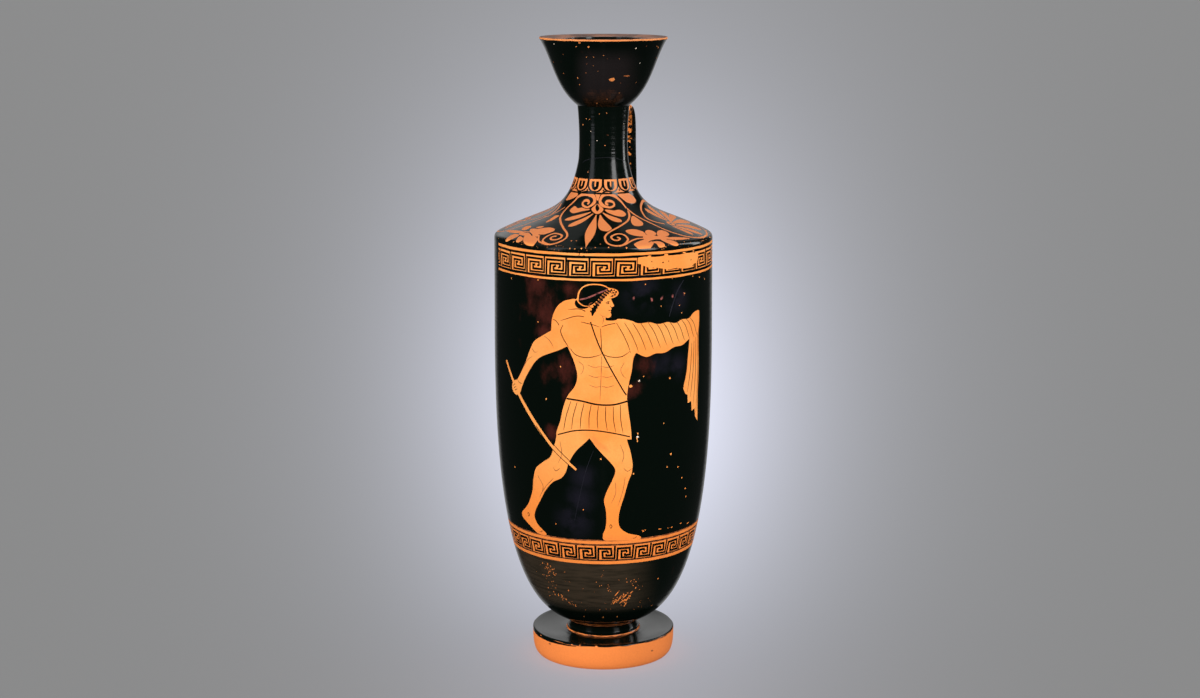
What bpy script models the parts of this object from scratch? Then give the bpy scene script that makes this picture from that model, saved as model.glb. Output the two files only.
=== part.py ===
"""A tall oil flask of fired clay: cup mouth, thin neck, sloping shoulder, strap handle, disc foot.

Metres, +Z up. The origin is on the ground in the middle of the foot, and the front faces -Y.
Every outline is a list of (radius, height) points.
"""
import math

import bmesh
import bpy
from mathutils import Matrix, Vector

# Heights, stacked from the ground to the rim
FOOT_HEIGHT = 0.0150
STEM_HEIGHT = 0.0085
BODY_HEIGHT = 0.2520
SHOULDER_HEIGHT = 0.0475
NECK_HEIGHT = 0.0343
MOUTH_HEIGHT = 0.0427

# Radii of the outside
FOOT_RADIUS = 0.0462
FOOT_REST_RADIUS = 0.0433
STEM_RADIUS = 0.0221
BODY_RADIUS = 0.0697
SHOULDER_RADIUS = 0.0694
NECK_FOOT_RADIUS = 0.0158
NECK_RADIUS = 0.0151
NECK_TOP_RADIUS = 0.0164
MOUTH_RADIUS = 0.0402

# Walls and hollows
WALL = 0.0046
LIP_WIDTH = 0.0168
LIP_FALL = 0.0012
NECK_BORE_RADIUS = 0.0096
REST_RING_WIDTH = 0.0120
RECESS_DEPTH = 0.0130

# Small mouldings and rounded edges
FOOT_EDGE = 0.0009
FOOT_DISH = 0.0019
SHOULDER_EDGE = 0.0030
LIP_BAND_HEIGHT = 0.0017
LIP_EDGE = 0.0005
RIDGE_HEIGHT = 0.0016
RIDGE_DEPTH = 0.0017

# The body's outline below its widest height is a squared ellipse
WIDEST_BELOW_SHOULDER = 0.0640
BELLY_SQUARENESS = 2.62
BASE_SQUARENESS = 3.22
BODY_POLE_SINK = 0.0025

# The strap handle stands in an upright plane through the axis, turned from straight back
HANDLE_WIDTH = 0.0220
HANDLE_THICKNESS = 0.0070
HANDLE_REACH = 0.0385
HANDLE_TURN = math.radians(15.8)
HANDLE_BELOW_MOUTH = 0.0088
HANDLE_LANDING_RADIUS = 0.0385
HANDLE_NECK_BITE = 0.0036
HANDLE_SHOULDER_BITE = 0.0024
HANDLE_NECK_WIDTH = 0.0180
HANDLE_LANDING_WIDTH = 0.0265
HANDLE_SQUARENESS = 2.8

# Facets
TURN_STEPS = 48
HANDLE_SIDES = 14
HANDLE_STEPS = 11

BODY_FOOT_Z = FOOT_HEIGHT + STEM_HEIGHT
SHOULDER_Z = BODY_FOOT_Z + BODY_HEIGHT
NECK_FOOT_Z = SHOULDER_Z + SHOULDER_HEIGHT
MOUTH_FOOT_Z = NECK_FOOT_Z + NECK_HEIGHT
RIM_Z = MOUTH_FOOT_Z + MOUTH_HEIGHT


def clear_scene():
    for obj in list(bpy.data.objects):
        bpy.data.objects.remove(obj, do_unlink=True)


def new_collection(name):
    made = bpy.data.collections.new(name)
    bpy.context.scene.collection.children.link(made)
    return made


def fired_glaze():
    """Black gloss of the fired slip that covers nearly all of the clay."""
    made = bpy.data.materials.new("black_gloss")
    made.use_nodes = True
    shader = made.node_tree.nodes["Principled BSDF"]
    shader.inputs["Base Color"].default_value = (0.012, 0.011, 0.010, 1.0)
    shader.inputs["Roughness"].default_value = 0.2
    shader.inputs["Metallic"].default_value = 0.0
    return made


def bezier(start, pull_start, pull_end, end, steps):
    """Points of one cubic curve, both ends included."""
    points = []
    for i in range(steps + 1):
        t = i / steps
        weights = ((1 - t) ** 3, 3 * t * (1 - t) ** 2, 3 * t * t * (1 - t), t ** 3)
        corners = (start, pull_start, pull_end, end)
        points.append(tuple(sum(w * p[axis] for w, p in zip(weights, corners)) for axis in (0, 1)))
    return points


def offset(points, distance):
    """The same outline moved by a wall's thickness, to the left of its direction."""
    moved = []
    for i, point in enumerate(points):
        before = Vector(points[max(i - 1, 0)])
        after = Vector(points[min(i + 1, len(points) - 1)])
        along = (after - before).normalized()
        moved.append((point[0] - along.y * distance, point[1] + along.x * distance))
    return moved


def at_radius(points, radius):
    """Height and direction of an outline that narrows upwards, where it has this radius."""
    for lower, upper in zip(points, points[1:]):
        if lower[0] >= radius > upper[0]:
            share = (lower[0] - radius) / (lower[0] - upper[0])
            along = (Vector(upper) - Vector(lower)).normalized()
            return lower[1] + share * (upper[1] - lower[1]), along
    return points[-1][1], Vector((0.0, 1.0))


def underside_outline():
    """From the axis out over the dished recess to the ring that the flask stands on."""
    ring_inner = FOOT_REST_RADIUS - REST_RING_WIDTH
    return bezier((0.0, RECESS_DEPTH), (ring_inner * 0.5, RECESS_DEPTH),
                  (ring_inner * 0.75, RECESS_DEPTH * 0.25), (ring_inner, 0.0), 5)


def foot_outline():
    """Up the side of the disc, rounded below and upright above, then in over its dished top."""
    edge_z = FOOT_HEIGHT + FOOT_DISH
    side = bezier((FOOT_REST_RADIUS, 0.0), (FOOT_RADIUS, edge_z * 0.15),
                  (FOOT_RADIUS, edge_z * 0.55), (FOOT_RADIUS, edge_z - FOOT_EDGE), 5)
    inner = FOOT_RADIUS - FOOT_EDGE
    top = bezier((inner, edge_z), (inner - FOOT_DISH * 2.5, edge_z - FOOT_DISH * 0.5),
                 (inner - FOOT_DISH * 6, FOOT_HEIGHT), (STEM_RADIUS + RIDGE_DEPTH, FOOT_HEIGHT), 4)
    return side + top[:-1]


def stem_outline():
    """A plain drawn-in band between two thin ridges."""
    ridge = STEM_RADIUS + RIDGE_DEPTH
    slope = RIDGE_HEIGHT / 2
    return [(ridge, FOOT_HEIGHT), (ridge, FOOT_HEIGHT + RIDGE_HEIGHT),
            (STEM_RADIUS, FOOT_HEIGHT + RIDGE_HEIGHT + slope), (STEM_RADIUS, BODY_FOOT_Z - RIDGE_HEIGHT - slope),
            (ridge, BODY_FOOT_Z - RIDGE_HEIGHT), (ridge, BODY_FOOT_Z - slope / 2)]


def body_radius(z):
    """Radius of the body's outside at this height."""
    widest_z = SHOULDER_Z - WIDEST_BELOW_SHOULDER
    if z >= widest_z:
        rise = (z - widest_z) / WIDEST_BELOW_SHOULDER
        return BODY_RADIUS + (SHOULDER_RADIUS - BODY_RADIUS) * math.sin(rise * math.pi / 2)
    drop = (widest_z - z) / (widest_z - BODY_FOOT_Z + BODY_POLE_SINK)
    return BODY_RADIUS * (1 - drop ** BELLY_SQUARENESS) ** (1 / BASE_SQUARENESS)


def body_outline(steps):
    """From the stem to the shoulder, with its points closest together at the foot."""
    heights = [BODY_FOOT_Z + BODY_HEIGHT * 0.95 * (i / steps) ** 2 for i in range(steps + 1)]
    return [(body_radius(z), z) for z in heights]


def shoulder_outline(steps):
    """The rounded edge, then one long hollow curve up to the neck."""
    turn = (SHOULDER_RADIUS - SHOULDER_EDGE, SHOULDER_Z + SHOULDER_EDGE * 0.7)
    edge = bezier((SHOULDER_RADIUS, SHOULDER_Z - SHOULDER_EDGE * 0.5), (SHOULDER_RADIUS, SHOULDER_Z),
                  (SHOULDER_RADIUS - SHOULDER_EDGE * 0.2, SHOULDER_Z + SHOULDER_EDGE * 0.35), turn, 3)
    width = SHOULDER_RADIUS - NECK_FOOT_RADIUS
    slope = bezier(turn, (NECK_FOOT_RADIUS + width * 0.322, SHOULDER_Z + SHOULDER_HEIGHT * 0.393),
                   (NECK_FOOT_RADIUS + width * 0.125, SHOULDER_Z + SHOULDER_HEIGHT * 0.264),
                   (NECK_FOOT_RADIUS, NECK_FOOT_Z), steps)
    return edge + slope[1:]


def neck_outline():
    """Drawn in a little above its foot and wider again under the mouth."""
    return bezier((NECK_FOOT_RADIUS, NECK_FOOT_Z), (NECK_RADIUS, NECK_FOOT_Z + NECK_HEIGHT * 0.25),
                  (NECK_RADIUS, NECK_FOOT_Z + NECK_HEIGHT * 0.6), (NECK_TOP_RADIUS, MOUTH_FOOT_Z), 4)


def mouth_outline():
    """The cup's outside, full below and flaring above, then the lip's band and its wide top."""
    lip_foot = (MOUTH_RADIUS - LIP_EDGE, RIM_Z - LIP_BAND_HEIGHT)
    width = lip_foot[0] - NECK_TOP_RADIUS
    height = lip_foot[1] - MOUTH_FOOT_Z
    cup = bezier((NECK_TOP_RADIUS, MOUTH_FOOT_Z),
                 (NECK_TOP_RADIUS + width * 0.60, MOUTH_FOOT_Z + height * 0.265),
                 (NECK_TOP_RADIUS + width * 0.67, MOUTH_FOOT_Z + height * 0.69), lip_foot, 9)
    band = [(MOUTH_RADIUS, lip_foot[1] + LIP_EDGE), (MOUTH_RADIUS, RIM_Z - LIP_EDGE),
            (MOUTH_RADIUS - LIP_EDGE, RIM_Z)]
    return cup[1:] + band


def inside_outline():
    """The hollow, from the lip's inner edge down the bore to the floor on the axis."""
    lip_inner = MOUTH_RADIUS - LIP_WIDTH
    lip_z = RIM_Z - LIP_FALL
    funnel = bezier((lip_inner, lip_z), (lip_inner - LIP_EDGE, lip_z - MOUTH_HEIGHT * 0.45),
                    (NECK_BORE_RADIUS, MOUTH_FOOT_Z + WALL * 2), (NECK_BORE_RADIUS, MOUTH_FOOT_Z - WALL), 6)
    outer = body_outline(9) + shoulder_outline(6)
    chamber = [point for point in offset(outer, WALL) if point[0] > NECK_BORE_RADIUS + WALL / 4]
    chamber.reverse()
    floor = (0.0, chamber[-1][1] - WALL / 4)
    return funnel + [(NECK_BORE_RADIUS, NECK_FOOT_Z)] + chamber + [floor]


def flask_outline():
    """The whole wall as one line, down the outside, under the foot and up again on the axis."""
    outside = (underside_outline() + foot_outline() + stem_outline() + body_outline(14)
               + shoulder_outline(9) + neck_outline()[1:] + mouth_outline())
    outside.reverse()
    inside = inside_outline()
    inside.reverse()
    return inside + outside


def turned(name, outline, place):
    """A profile in the XZ plane, spun round the Z axis."""
    mesh = bpy.data.meshes.new(name)
    points = [(radius, 0.0, z) for radius, z in outline]
    mesh.from_pydata(points, [(i, i + 1) for i in range(len(points) - 1)], [])
    obj = bpy.data.objects.new(name, mesh)
    place.objects.link(obj)
    screw = obj.modifiers.new("turn", "SCREW")
    screw.axis = "Z"
    screw.angle = math.tau
    screw.steps = TURN_STEPS
    screw.render_steps = TURN_STEPS
    screw.use_merge_vertices = True
    screw.merge_threshold = 0.0001
    screw.use_smooth_shade = True
    return obj


def handle_path():
    """The strap's middle line: out of the neck, over and down to the shoulder."""
    start = (NECK_TOP_RADIUS - HANDLE_NECK_BITE, MOUTH_FOOT_Z - HANDLE_BELOW_MOUTH)
    top = (HANDLE_REACH, start[1] - HANDLE_REACH * 0.42)
    landing_z, along = at_radius(shoulder_outline(10), HANDLE_LANDING_RADIUS)
    outward = Vector((along.y, -along.x))
    landing = Vector((HANDLE_LANDING_RADIUS, landing_z)) - outward * HANDLE_SHOULDER_BITE
    rise = top[1] - landing.y
    arch = bezier(start, (start[0] + HANDLE_REACH * 0.40, start[1] + HANDLE_THICKNESS * 0.8),
                  (HANDLE_REACH, start[1] + HANDLE_THICKNESS * 1.6), top, HANDLE_STEPS)
    drop = bezier(top, (HANDLE_REACH, top[1] - rise * 0.35), tuple(landing + outward * rise * 0.32),
                  tuple(landing), HANDLE_STEPS)
    return arch + drop[1:]


def handle_width(share):
    """Narrow at the neck, full along the strap, spread where it is pressed on the shoulder."""
    ease = min(share / 0.25, 1.0)
    width = HANDLE_NECK_WIDTH + (HANDLE_WIDTH - HANDLE_NECK_WIDTH) * ease * ease * (3 - 2 * ease)
    spread = max(share - 0.8, 0.0) / 0.2
    return width + (HANDLE_LANDING_WIDTH - HANDLE_WIDTH) * spread * spread


def section_point(angle, width, thickness):
    """A point of the strap's section: across the strap, and through it."""
    power = 2 / HANDLE_SQUARENESS
    across = math.copysign(abs(math.cos(angle)) ** power, math.cos(angle)) * width / 2
    through = math.copysign(abs(math.sin(angle)) ** power, math.sin(angle)) * thickness / 2
    return across, through


def strap(name, place):
    """Sections lofted along the handle's path, closed at both ends."""
    path = [Vector(point) for point in handle_path()]
    sheet = bmesh.new()
    rings = []
    for i, point in enumerate(path):
        ahead = path[min(i + 1, len(path) - 1)] - path[max(i - 1, 0)]
        outward = Vector((ahead.y, -ahead.x)).normalized()
        width = handle_width(i / (len(path) - 1))
        ring = []
        for side in range(HANDLE_SIDES):
            across, through = section_point(math.tau * side / HANDLE_SIDES, width, HANDLE_THICKNESS)
            spot = point - outward * through
            ring.append(sheet.verts.new((across, spot.x, spot.y)))
        rings.append(ring)
    for lower, upper in zip(rings, rings[1:]):
        for side in range(HANDLE_SIDES):
            after = (side + 1) % HANDLE_SIDES
            sheet.faces.new((lower[side], lower[after], upper[after], upper[side]))
    sheet.faces.new(rings[0])
    sheet.faces.new(rings[-1])
    bmesh.ops.recalc_face_normals(sheet, faces=sheet.faces)
    mesh = bpy.data.meshes.new(name)
    sheet.to_mesh(mesh)
    sheet.free()
    mesh.shade_smooth()
    obj = bpy.data.objects.new(name, mesh)
    obj.matrix_world = Matrix.Rotation(-HANDLE_TURN, 4, "Z")
    obj.hide_render = True
    obj.display_type = "WIRE"
    place.objects.link(obj)
    return obj


def flask(place, tools):
    """The thrown wall with the pulled handle joined on: one piece of fired clay."""
    obj = turned("flask", flask_outline(), place)
    obj.data.materials.append(fired_glaze())
    join = obj.modifiers.new("handle", "BOOLEAN")
    join.operation = "UNION"
    join.object = strap("handle_strap", tools)
    join.solver = "EXACT"
    return obj


def build():
    clear_scene()
    place = new_collection("oil_flask")
    tools = new_collection("joining_shapes")
    flask(place, tools)


build()
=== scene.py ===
# %% [markdown]
# # A red-figure oil flask
#
# The real flask was thrown on a wheel from orange clay. The painter left the picture and the
# borders bare, filled everything round them with a thin clay slip that fired to a black gloss,
# and drew the inner lines with the same slip. This lesson dresses the solid model of the flask:
# the thrown shapes are turned again with finer steps, and the painting is cut into the mesh,
# so its edges stay as crisp as brush strokes from any distance.

# %% Load the frame
import math
import random

import bpy
import numpy as np
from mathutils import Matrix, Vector
from mathutils.geometry import delaunay_2d_cdt


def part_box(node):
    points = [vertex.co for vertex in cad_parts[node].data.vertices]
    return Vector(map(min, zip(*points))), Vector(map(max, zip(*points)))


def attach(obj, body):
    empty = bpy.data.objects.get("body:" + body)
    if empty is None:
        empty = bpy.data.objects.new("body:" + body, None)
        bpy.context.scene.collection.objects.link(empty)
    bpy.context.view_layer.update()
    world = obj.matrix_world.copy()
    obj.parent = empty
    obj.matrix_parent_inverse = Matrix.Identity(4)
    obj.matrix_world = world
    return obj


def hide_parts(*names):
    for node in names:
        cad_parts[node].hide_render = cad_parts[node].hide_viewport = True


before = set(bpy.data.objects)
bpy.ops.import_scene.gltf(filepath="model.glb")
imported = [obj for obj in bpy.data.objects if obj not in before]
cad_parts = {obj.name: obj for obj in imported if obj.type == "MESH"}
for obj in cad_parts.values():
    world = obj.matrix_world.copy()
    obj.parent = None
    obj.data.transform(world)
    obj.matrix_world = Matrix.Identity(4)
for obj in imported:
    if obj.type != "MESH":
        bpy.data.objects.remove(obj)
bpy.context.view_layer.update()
FLASK_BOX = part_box("flask")
bpy.ops.object.select_all(action="DESELECT")
print("the solid flask is", round(FLASK_BOX[1][2] - FLASK_BOX[0][2], 4), "m tall")

# %% [markdown]
# ## The thrown shape
#
# Every height and radius repeats a measure of the solid, so the two models share one outline.
# Heights are stacked from the ground to the rim. A painted wall needs its outline as smooth
# curves with many points, because a glossy wall shows every facet in its reflections.

# %% Measures of the thrown shape
MM = 0.001
FOOT_HEIGHT = 15.0 * MM
STEM_HEIGHT = 8.5 * MM
BODY_HEIGHT = 252.0 * MM
SHOULDER_HEIGHT = 47.5 * MM
NECK_HEIGHT = 34.3 * MM
MOUTH_HEIGHT = 42.7 * MM

FOOT_RADIUS = 46.2 * MM
FOOT_REST_RADIUS = 43.3 * MM
STEM_RADIUS = 22.1 * MM
BODY_RADIUS = 69.7 * MM
SHOULDER_RADIUS = 69.4 * MM
NECK_FOOT_RADIUS = 15.8 * MM
NECK_RADIUS = 15.1 * MM
NECK_TOP_RADIUS = 16.4 * MM
MOUTH_RADIUS = 40.2 * MM

WALL = 4.6 * MM
LIP_WIDTH = 16.8 * MM
LIP_FALL = 1.2 * MM
NECK_BORE_RADIUS = 9.6 * MM
REST_RING_WIDTH = 12.0 * MM
RECESS_DEPTH = 13.0 * MM
FOOT_EDGE = 0.9 * MM
FOOT_DISH = 1.9 * MM
SHOULDER_EDGE = 3.0 * MM
LIP_BAND_HEIGHT = 1.7 * MM
LIP_EDGE = 0.5 * MM
RIDGE_HEIGHT = 1.6 * MM
RIDGE_DEPTH = 1.7 * MM

WIDEST_BELOW_SHOULDER = 64.0 * MM
BELLY_SQUARENESS = 2.62
BASE_SQUARENESS = 3.22
BODY_POLE_SINK = 2.5 * MM

BODY_FOOT_Z = FOOT_HEIGHT + STEM_HEIGHT
SHOULDER_Z = BODY_FOOT_Z + BODY_HEIGHT
BODY_TOP_Z = SHOULDER_Z - SHOULDER_EDGE * 0.5
NECK_FOOT_Z = SHOULDER_Z + SHOULDER_HEIGHT
MOUTH_FOOT_Z = NECK_FOOT_Z + NECK_HEIGHT
RIM_Z = MOUTH_FOOT_Z + MOUTH_HEIGHT
print("heights add up to", round(RIM_Z, 4), "m")


# %% Curves of the outline
def bezier(start, pull_start, pull_end, end, steps):
    """Points of one cubic curve, both ends included."""
    t = np.linspace(0.0, 1.0, steps + 1)[:, None]
    corners = [np.array(corner)[None] for corner in (start, pull_start, pull_end, end)]
    weights = ((1 - t) ** 3, 3 * t * (1 - t) ** 2, 3 * t * t * (1 - t), t ** 3)
    return sum(weight * corner for weight, corner in zip(weights, corners))


def headings(points):
    """The direction of a line at each of its points, one unit long."""
    along = np.gradient(points, axis=0)
    return along / np.linalg.norm(along, axis=1)[:, None]


def ways_along(points):
    """How far along a line each of its points lies."""
    return np.concatenate([[0.0], np.cumsum(np.linalg.norm(np.diff(points, axis=0), axis=1))])


def body_radius(z):
    """Radius of the body's outside at this height."""
    widest_z = SHOULDER_Z - WIDEST_BELOW_SHOULDER
    rise = np.clip((z - widest_z) / WIDEST_BELOW_SHOULDER, 0, 1)
    above = BODY_RADIUS + (SHOULDER_RADIUS - BODY_RADIUS) * np.sin(rise * math.pi / 2)
    drop = np.clip((widest_z - z) / (widest_z - BODY_FOOT_Z + BODY_POLE_SINK), 0, 1)
    below = BODY_RADIUS * (1 - drop ** BELLY_SQUARENESS) ** (1 / BASE_SQUARENESS)
    return np.where(z >= widest_z, above, below)


def body_outline(steps):
    """From the stem up to the turn of the shoulder, closest together at the foot."""
    z = BODY_FOOT_Z + (BODY_TOP_Z - BODY_FOOT_Z) * np.linspace(0, 1, steps + 1) ** 1.6
    return np.column_stack([body_radius(z), z])


def shoulder_outline(edge_steps, slope_steps):
    """The rounded edge, then one long hollow curve up to the neck."""
    turn = (SHOULDER_RADIUS - SHOULDER_EDGE, SHOULDER_Z + SHOULDER_EDGE * 0.7)
    edge = bezier((SHOULDER_RADIUS, BODY_TOP_Z), (SHOULDER_RADIUS, SHOULDER_Z),
                  (SHOULDER_RADIUS - SHOULDER_EDGE * 0.2, SHOULDER_Z + SHOULDER_EDGE * 0.35),
                  turn, edge_steps)
    width = SHOULDER_RADIUS - NECK_FOOT_RADIUS
    slope = bezier(turn, (NECK_FOOT_RADIUS + width * 0.322, SHOULDER_Z + SHOULDER_HEIGHT * 0.393),
                   (NECK_FOOT_RADIUS + width * 0.125, SHOULDER_Z + SHOULDER_HEIGHT * 0.264),
                   (NECK_FOOT_RADIUS, NECK_FOOT_Z), slope_steps)
    return np.vstack([edge, slope[1:]])


def neck_outline(steps):
    """Drawn in a little above its foot and wider again under the mouth."""
    return bezier((NECK_FOOT_RADIUS, NECK_FOOT_Z), (NECK_RADIUS, NECK_FOOT_Z + NECK_HEIGHT * 0.25),
                  (NECK_RADIUS, NECK_FOOT_Z + NECK_HEIGHT * 0.6),
                  (NECK_TOP_RADIUS, MOUTH_FOOT_Z), steps)


def inward(points, distance):
    """The same outline moved towards the hollow by a wall's thickness."""
    along = headings(points)
    return points + np.column_stack([-along[:, 1], along[:, 0]]) * distance


# %% [markdown]
# ## A wall that can be painted
#
# The wall is unrolled flat, as a strip of paper round the pot would be: across the sheet runs
# the way round, up the sheet runs the way along the outline. All brush strokes are outlines on
# that sheet. A Delaunay triangulation takes the outlines and an even grid of points and makes
# one mesh that has every stroke's edge in it. Each triangle then gets the finish of the topmost
# stroke that it lies in, and the sheet is rolled up round the axis again.

# %% The sheet
COLUMNS = 144


class Sheet:
    """One unrolled wall: lengths round it are measured at the radius of its widest ring."""

    def __init__(self, outline, around_radius):
        self.up = ways_along(outline)
        self.outline = outline
        self.heights = np.maximum.accumulate(outline[:, 1])
        self.around = around_radius
        along = headings(outline)
        self.facing = np.column_stack([along[:, 1], -along[:, 0]])
        self.strokes = []

    def at(self, up):
        """Radius and height of the wall at a way up the outline."""
        return (np.interp(up, self.up, self.outline[:, 0]), np.interp(up, self.up, self.outline[:, 1]))

    def up_at_height(self, z):
        return np.interp(z, self.heights, self.up)

    def paint(self, finish, outline):
        """Adds one closed outline, given in metres on the sheet. Later ones lie on top."""
        self.strokes.append((finish, np.array(outline, dtype=float)))


def inside(points, outline):
    """Which points lie in a closed outline, also where a brush stroke crosses itself."""
    x0, y0 = outline.T
    x1, y1 = np.roll(outline, -1, axis=0).T
    px, py = points[:, 0][:, None], points[:, 1][:, None]
    left = (x1 - x0) * (py - y0) - (px - x0) * (y1 - y0)
    turns = ((y0 <= py) & (y1 > py) & (left > 0)).astype(int) - ((y0 > py) & (y1 <= py) & (left < 0))
    return turns.sum(axis=1) != 0


# %% Cutting the strokes into a flat mesh
def triangulate(sheet, rows, ground):
    """The flat mesh with every outline in it, and the finish of each triangle."""
    half = math.pi * sheet.around
    across = np.linspace(-half, half, COLUMNS + 1)
    grid = np.array([(a, u) for u in rows for a in across])
    points = [grid]
    edges = []
    count = len(grid)
    for _, outline in sheet.strokes:
        points.append(outline)
        numbers = np.arange(len(outline)) + count
        edges += list(zip(numbers.tolist(), np.roll(numbers, -1).tolist()))
        count += len(outline)
    flat = np.vstack(points) / MM
    made = delaunay_2d_cdt([Vector(p) for p in flat], edges, [], 0, 1e-4, False)
    spots = np.array([tuple(v) for v in made[0]]) * MM
    faces = np.array([f for f in made[2] if len(f) == 3])
    sides = spots[faces]
    turn = np.cross(sides[:, 1] - sides[:, 0], sides[:, 2] - sides[:, 0])
    faces = faces[np.abs(turn) > 1e-13]
    turn = turn[np.abs(turn) > 1e-13]
    faces[turn < 0] = faces[turn < 0][:, ::-1]
    middles = spots[faces].mean(axis=1)
    finish = np.full(len(faces), ground)
    for number, outline in sheet.strokes:
        low, high = outline.min(axis=0), outline.max(axis=0)
        near = np.where(np.all((middles >= low) & (middles <= high), axis=1))[0]
        for part in np.array_split(near, max(1, len(near) * len(outline) // 4000000)):
            finish[part[inside(middles[part], outline)]] = number
    return spots, faces, finish


# %% Rolling the sheet up into a closed wall
FRONT_SPAN = math.radians(105)
FRONT_SHARE = 0.78
HIDDEN_SHARE = 0.10
CHART_MARGIN = 0.004
CHART_GAP = 0.012


def map_across(azimuth):
    """Place across the picture map, with more of it for the painted front than for the back."""
    front = azimuth / FRONT_SPAN * FRONT_SHARE / 2
    back = FRONT_SHARE / 2 + (np.abs(azimuth) - FRONT_SPAN) / (math.pi - FRONT_SPAN) * (1 - FRONT_SHARE) / 2
    return 0.5 + np.where(np.abs(azimuth) < FRONT_SPAN, front, np.sign(azimuth) * back)


def rolled(azimuth, radius, z):
    return np.column_stack([radius * np.sin(azimuth), -radius * np.cos(azimuth), z])


def painted_wall(name, sheet, rows, hidden, ground, hidden_finish):
    """Rolls the painted sheet up and closes it with hidden rings, given from its top to its foot."""
    spots, faces, finish = triangulate(sheet, rows, ground)
    azimuth = spots[:, 0] / sheet.around
    radius, z = sheet.at(spots[:, 1])
    facing_out = np.interp(spots[:, 1], sheet.up, sheet.facing[:, 0])
    facing_up = np.interp(spots[:, 1], sheet.up, sheet.facing[:, 1])
    normals = rolled(azimuth, facing_out, facing_up)[faces].reshape(-1, 3)
    share_up = (spots[:, 1] - rows[0]) / (rows[-1] - rows[0])
    chart = np.column_stack([map_across(azimuth), HIDDEN_SHARE + share_up * (1 - HIDDEN_SHARE)])
    chart = chart[faces].reshape(-1, 2)

    half = math.pi * sheet.around
    start = np.where(np.isclose(spots[:, 0], -half, atol=1e-7))[0]
    end = np.where(np.isclose(spots[:, 0], half, atol=1e-7))[0]
    start = start[np.argsort(spots[start, 1])]
    end = end[np.argsort(spots[end, 1])]
    same = np.arange(len(spots))
    same[end] = start
    faces = same[faces]

    points = rolled(azimuth, radius, z)
    rings = []
    for edge in (rows[-1], rows[0]):
        ring = np.where(np.isclose(spots[:, 1], edge, atol=1e-7) & (spots[:, 0] < half - 1e-6))[0]
        rings.append(ring[np.argsort(spots[ring, 0])])
    assert len(rings[0]) == len(rings[1]) == COLUMNS, "a stroke touches the wall's edge"
    angles = np.linspace(-math.pi, math.pi, COLUMNS + 1)
    added = []
    count = len(points)
    stack = [rings[0]]
    for ring_radius, ring_z in hidden:
        if ring_radius == 0.0:
            added.append(np.array([[0.0, 0.0, ring_z]]))
            stack.append(np.full(COLUMNS, count))
            count += 1
            continue
        added.append(rolled(angles[:-1], np.full(COLUMNS, ring_radius), np.full(COLUMNS, ring_z)))
        stack.append(np.arange(COLUMNS) + count)
        count += COLUMNS
    stack.append(rings[1])
    line = np.vstack([sheet.outline[-1], hidden, sheet.outline[0]])
    quads, quad_normals, quad_chart = [], [], []
    ways = ways_along(line)
    ways = CHART_MARGIN + ways / ways[-1] * (HIDDEN_SHARE - CHART_GAP)
    for step, (upper, lower) in enumerate(zip(stack, stack[1:])):
        along = line[step + 1] - line[step]
        out, rise = along[1], -along[0]
        size = math.hypot(out, rise)
        if upper[0] == upper[1] and lower[0] == lower[1]:
            continue
        for column in range(COLUMNS):
            after = (column + 1) % COLUMNS
            corners = [(upper[column], column, step), (upper[after], column + 1, step),
                       (lower[after], column + 1, step + 1), (lower[column], column, step + 1)]
            if upper[0] == upper[1]:
                corners.pop(1)
            if lower[0] == lower[1]:
                corners.pop(2)
            quads.append([corner[0] for corner in corners])
            for _, turn, level in corners:
                angle = angles[turn]
                quad_normals.append((out / size * math.sin(angle), -out / size * math.cos(angle),
                                     rise / size))
                quad_chart.append((turn / COLUMNS, ways[level]))
    points = np.vstack([points] + added)
    used = np.unique(np.concatenate([faces.ravel(), np.concatenate(quads)]))
    compact = np.full(len(points), -1)
    compact[used] = np.arange(len(used))

    mesh = bpy.data.meshes.new(name)
    all_faces = compact[faces].tolist() + [compact[quad].tolist() for quad in quads]
    mesh.from_pydata(points[used].tolist(), [], all_faces)
    mesh.polygons.foreach_set("material_index", np.concatenate([finish, np.full(len(quads), hidden_finish)]))
    chart_layer = mesh.uv_layers.new(name="OFBake")
    chart_layer.data.foreach_set("uv", np.vstack([chart, np.array(quad_chart)]).ravel())
    mesh.polygons.foreach_set("use_smooth", np.ones(len(all_faces), dtype=bool))
    mesh.update()
    mesh.normals_split_custom_set(np.vstack([normals, np.array(quad_normals)]))
    made = bpy.data.objects.new(name, mesh)
    bpy.context.scene.collection.objects.link(made)
    print(name, "has", len(all_faces), "faces")
    return made


# %% [markdown]
# ## Brush strokes
#
# A painter's stroke is a line with a width that swells and tapers. Here it is a smooth curve
# through a few points, given in millimetres on the sheet, and widened to both sides. Corners of
# the key pattern stay sharp, so those lines skip the smoothing. A slight wobble, always the same
# from one run to the next, keeps the lines from looking ruled.

# %% Lines and strokes
hand = random.Random(11)


def wobble(points, size):
    """Moves each point a little, as a brush hand does."""
    return [(x + hand.uniform(-size, size), y + hand.uniform(-size, size)) for x, y in points]


def curve(points, closed=False, spacing=0.9):
    """A smooth line through the points, with new points about this far apart in millimetres."""
    knots = np.array(points, dtype=float)
    if closed:
        before, after, last = knots[-1:], knots[:2], len(knots)
    else:
        before, after, last = 2 * knots[:1] - knots[1:2], 2 * knots[-1:] - knots[-2:-1], len(knots) - 1
    padded = np.vstack([before, knots, after])
    made = []
    for i in range(last):
        p0, p1, p2, p3 = padded[i:i + 4]
        count = max(2, int(math.dist(p1, p2) / spacing + 0.5))
        for t in np.arange(count) / count:
            made.append(0.5 * (2 * p1 + (p2 - p0) * t + (2 * p0 - 5 * p1 + 4 * p2 - p3) * t * t
                               + (3 * p1 - p0 - 3 * p2 + p3) * t ** 3))
    if not closed:
        made.append(knots[-1])
    return np.array(made)


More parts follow.
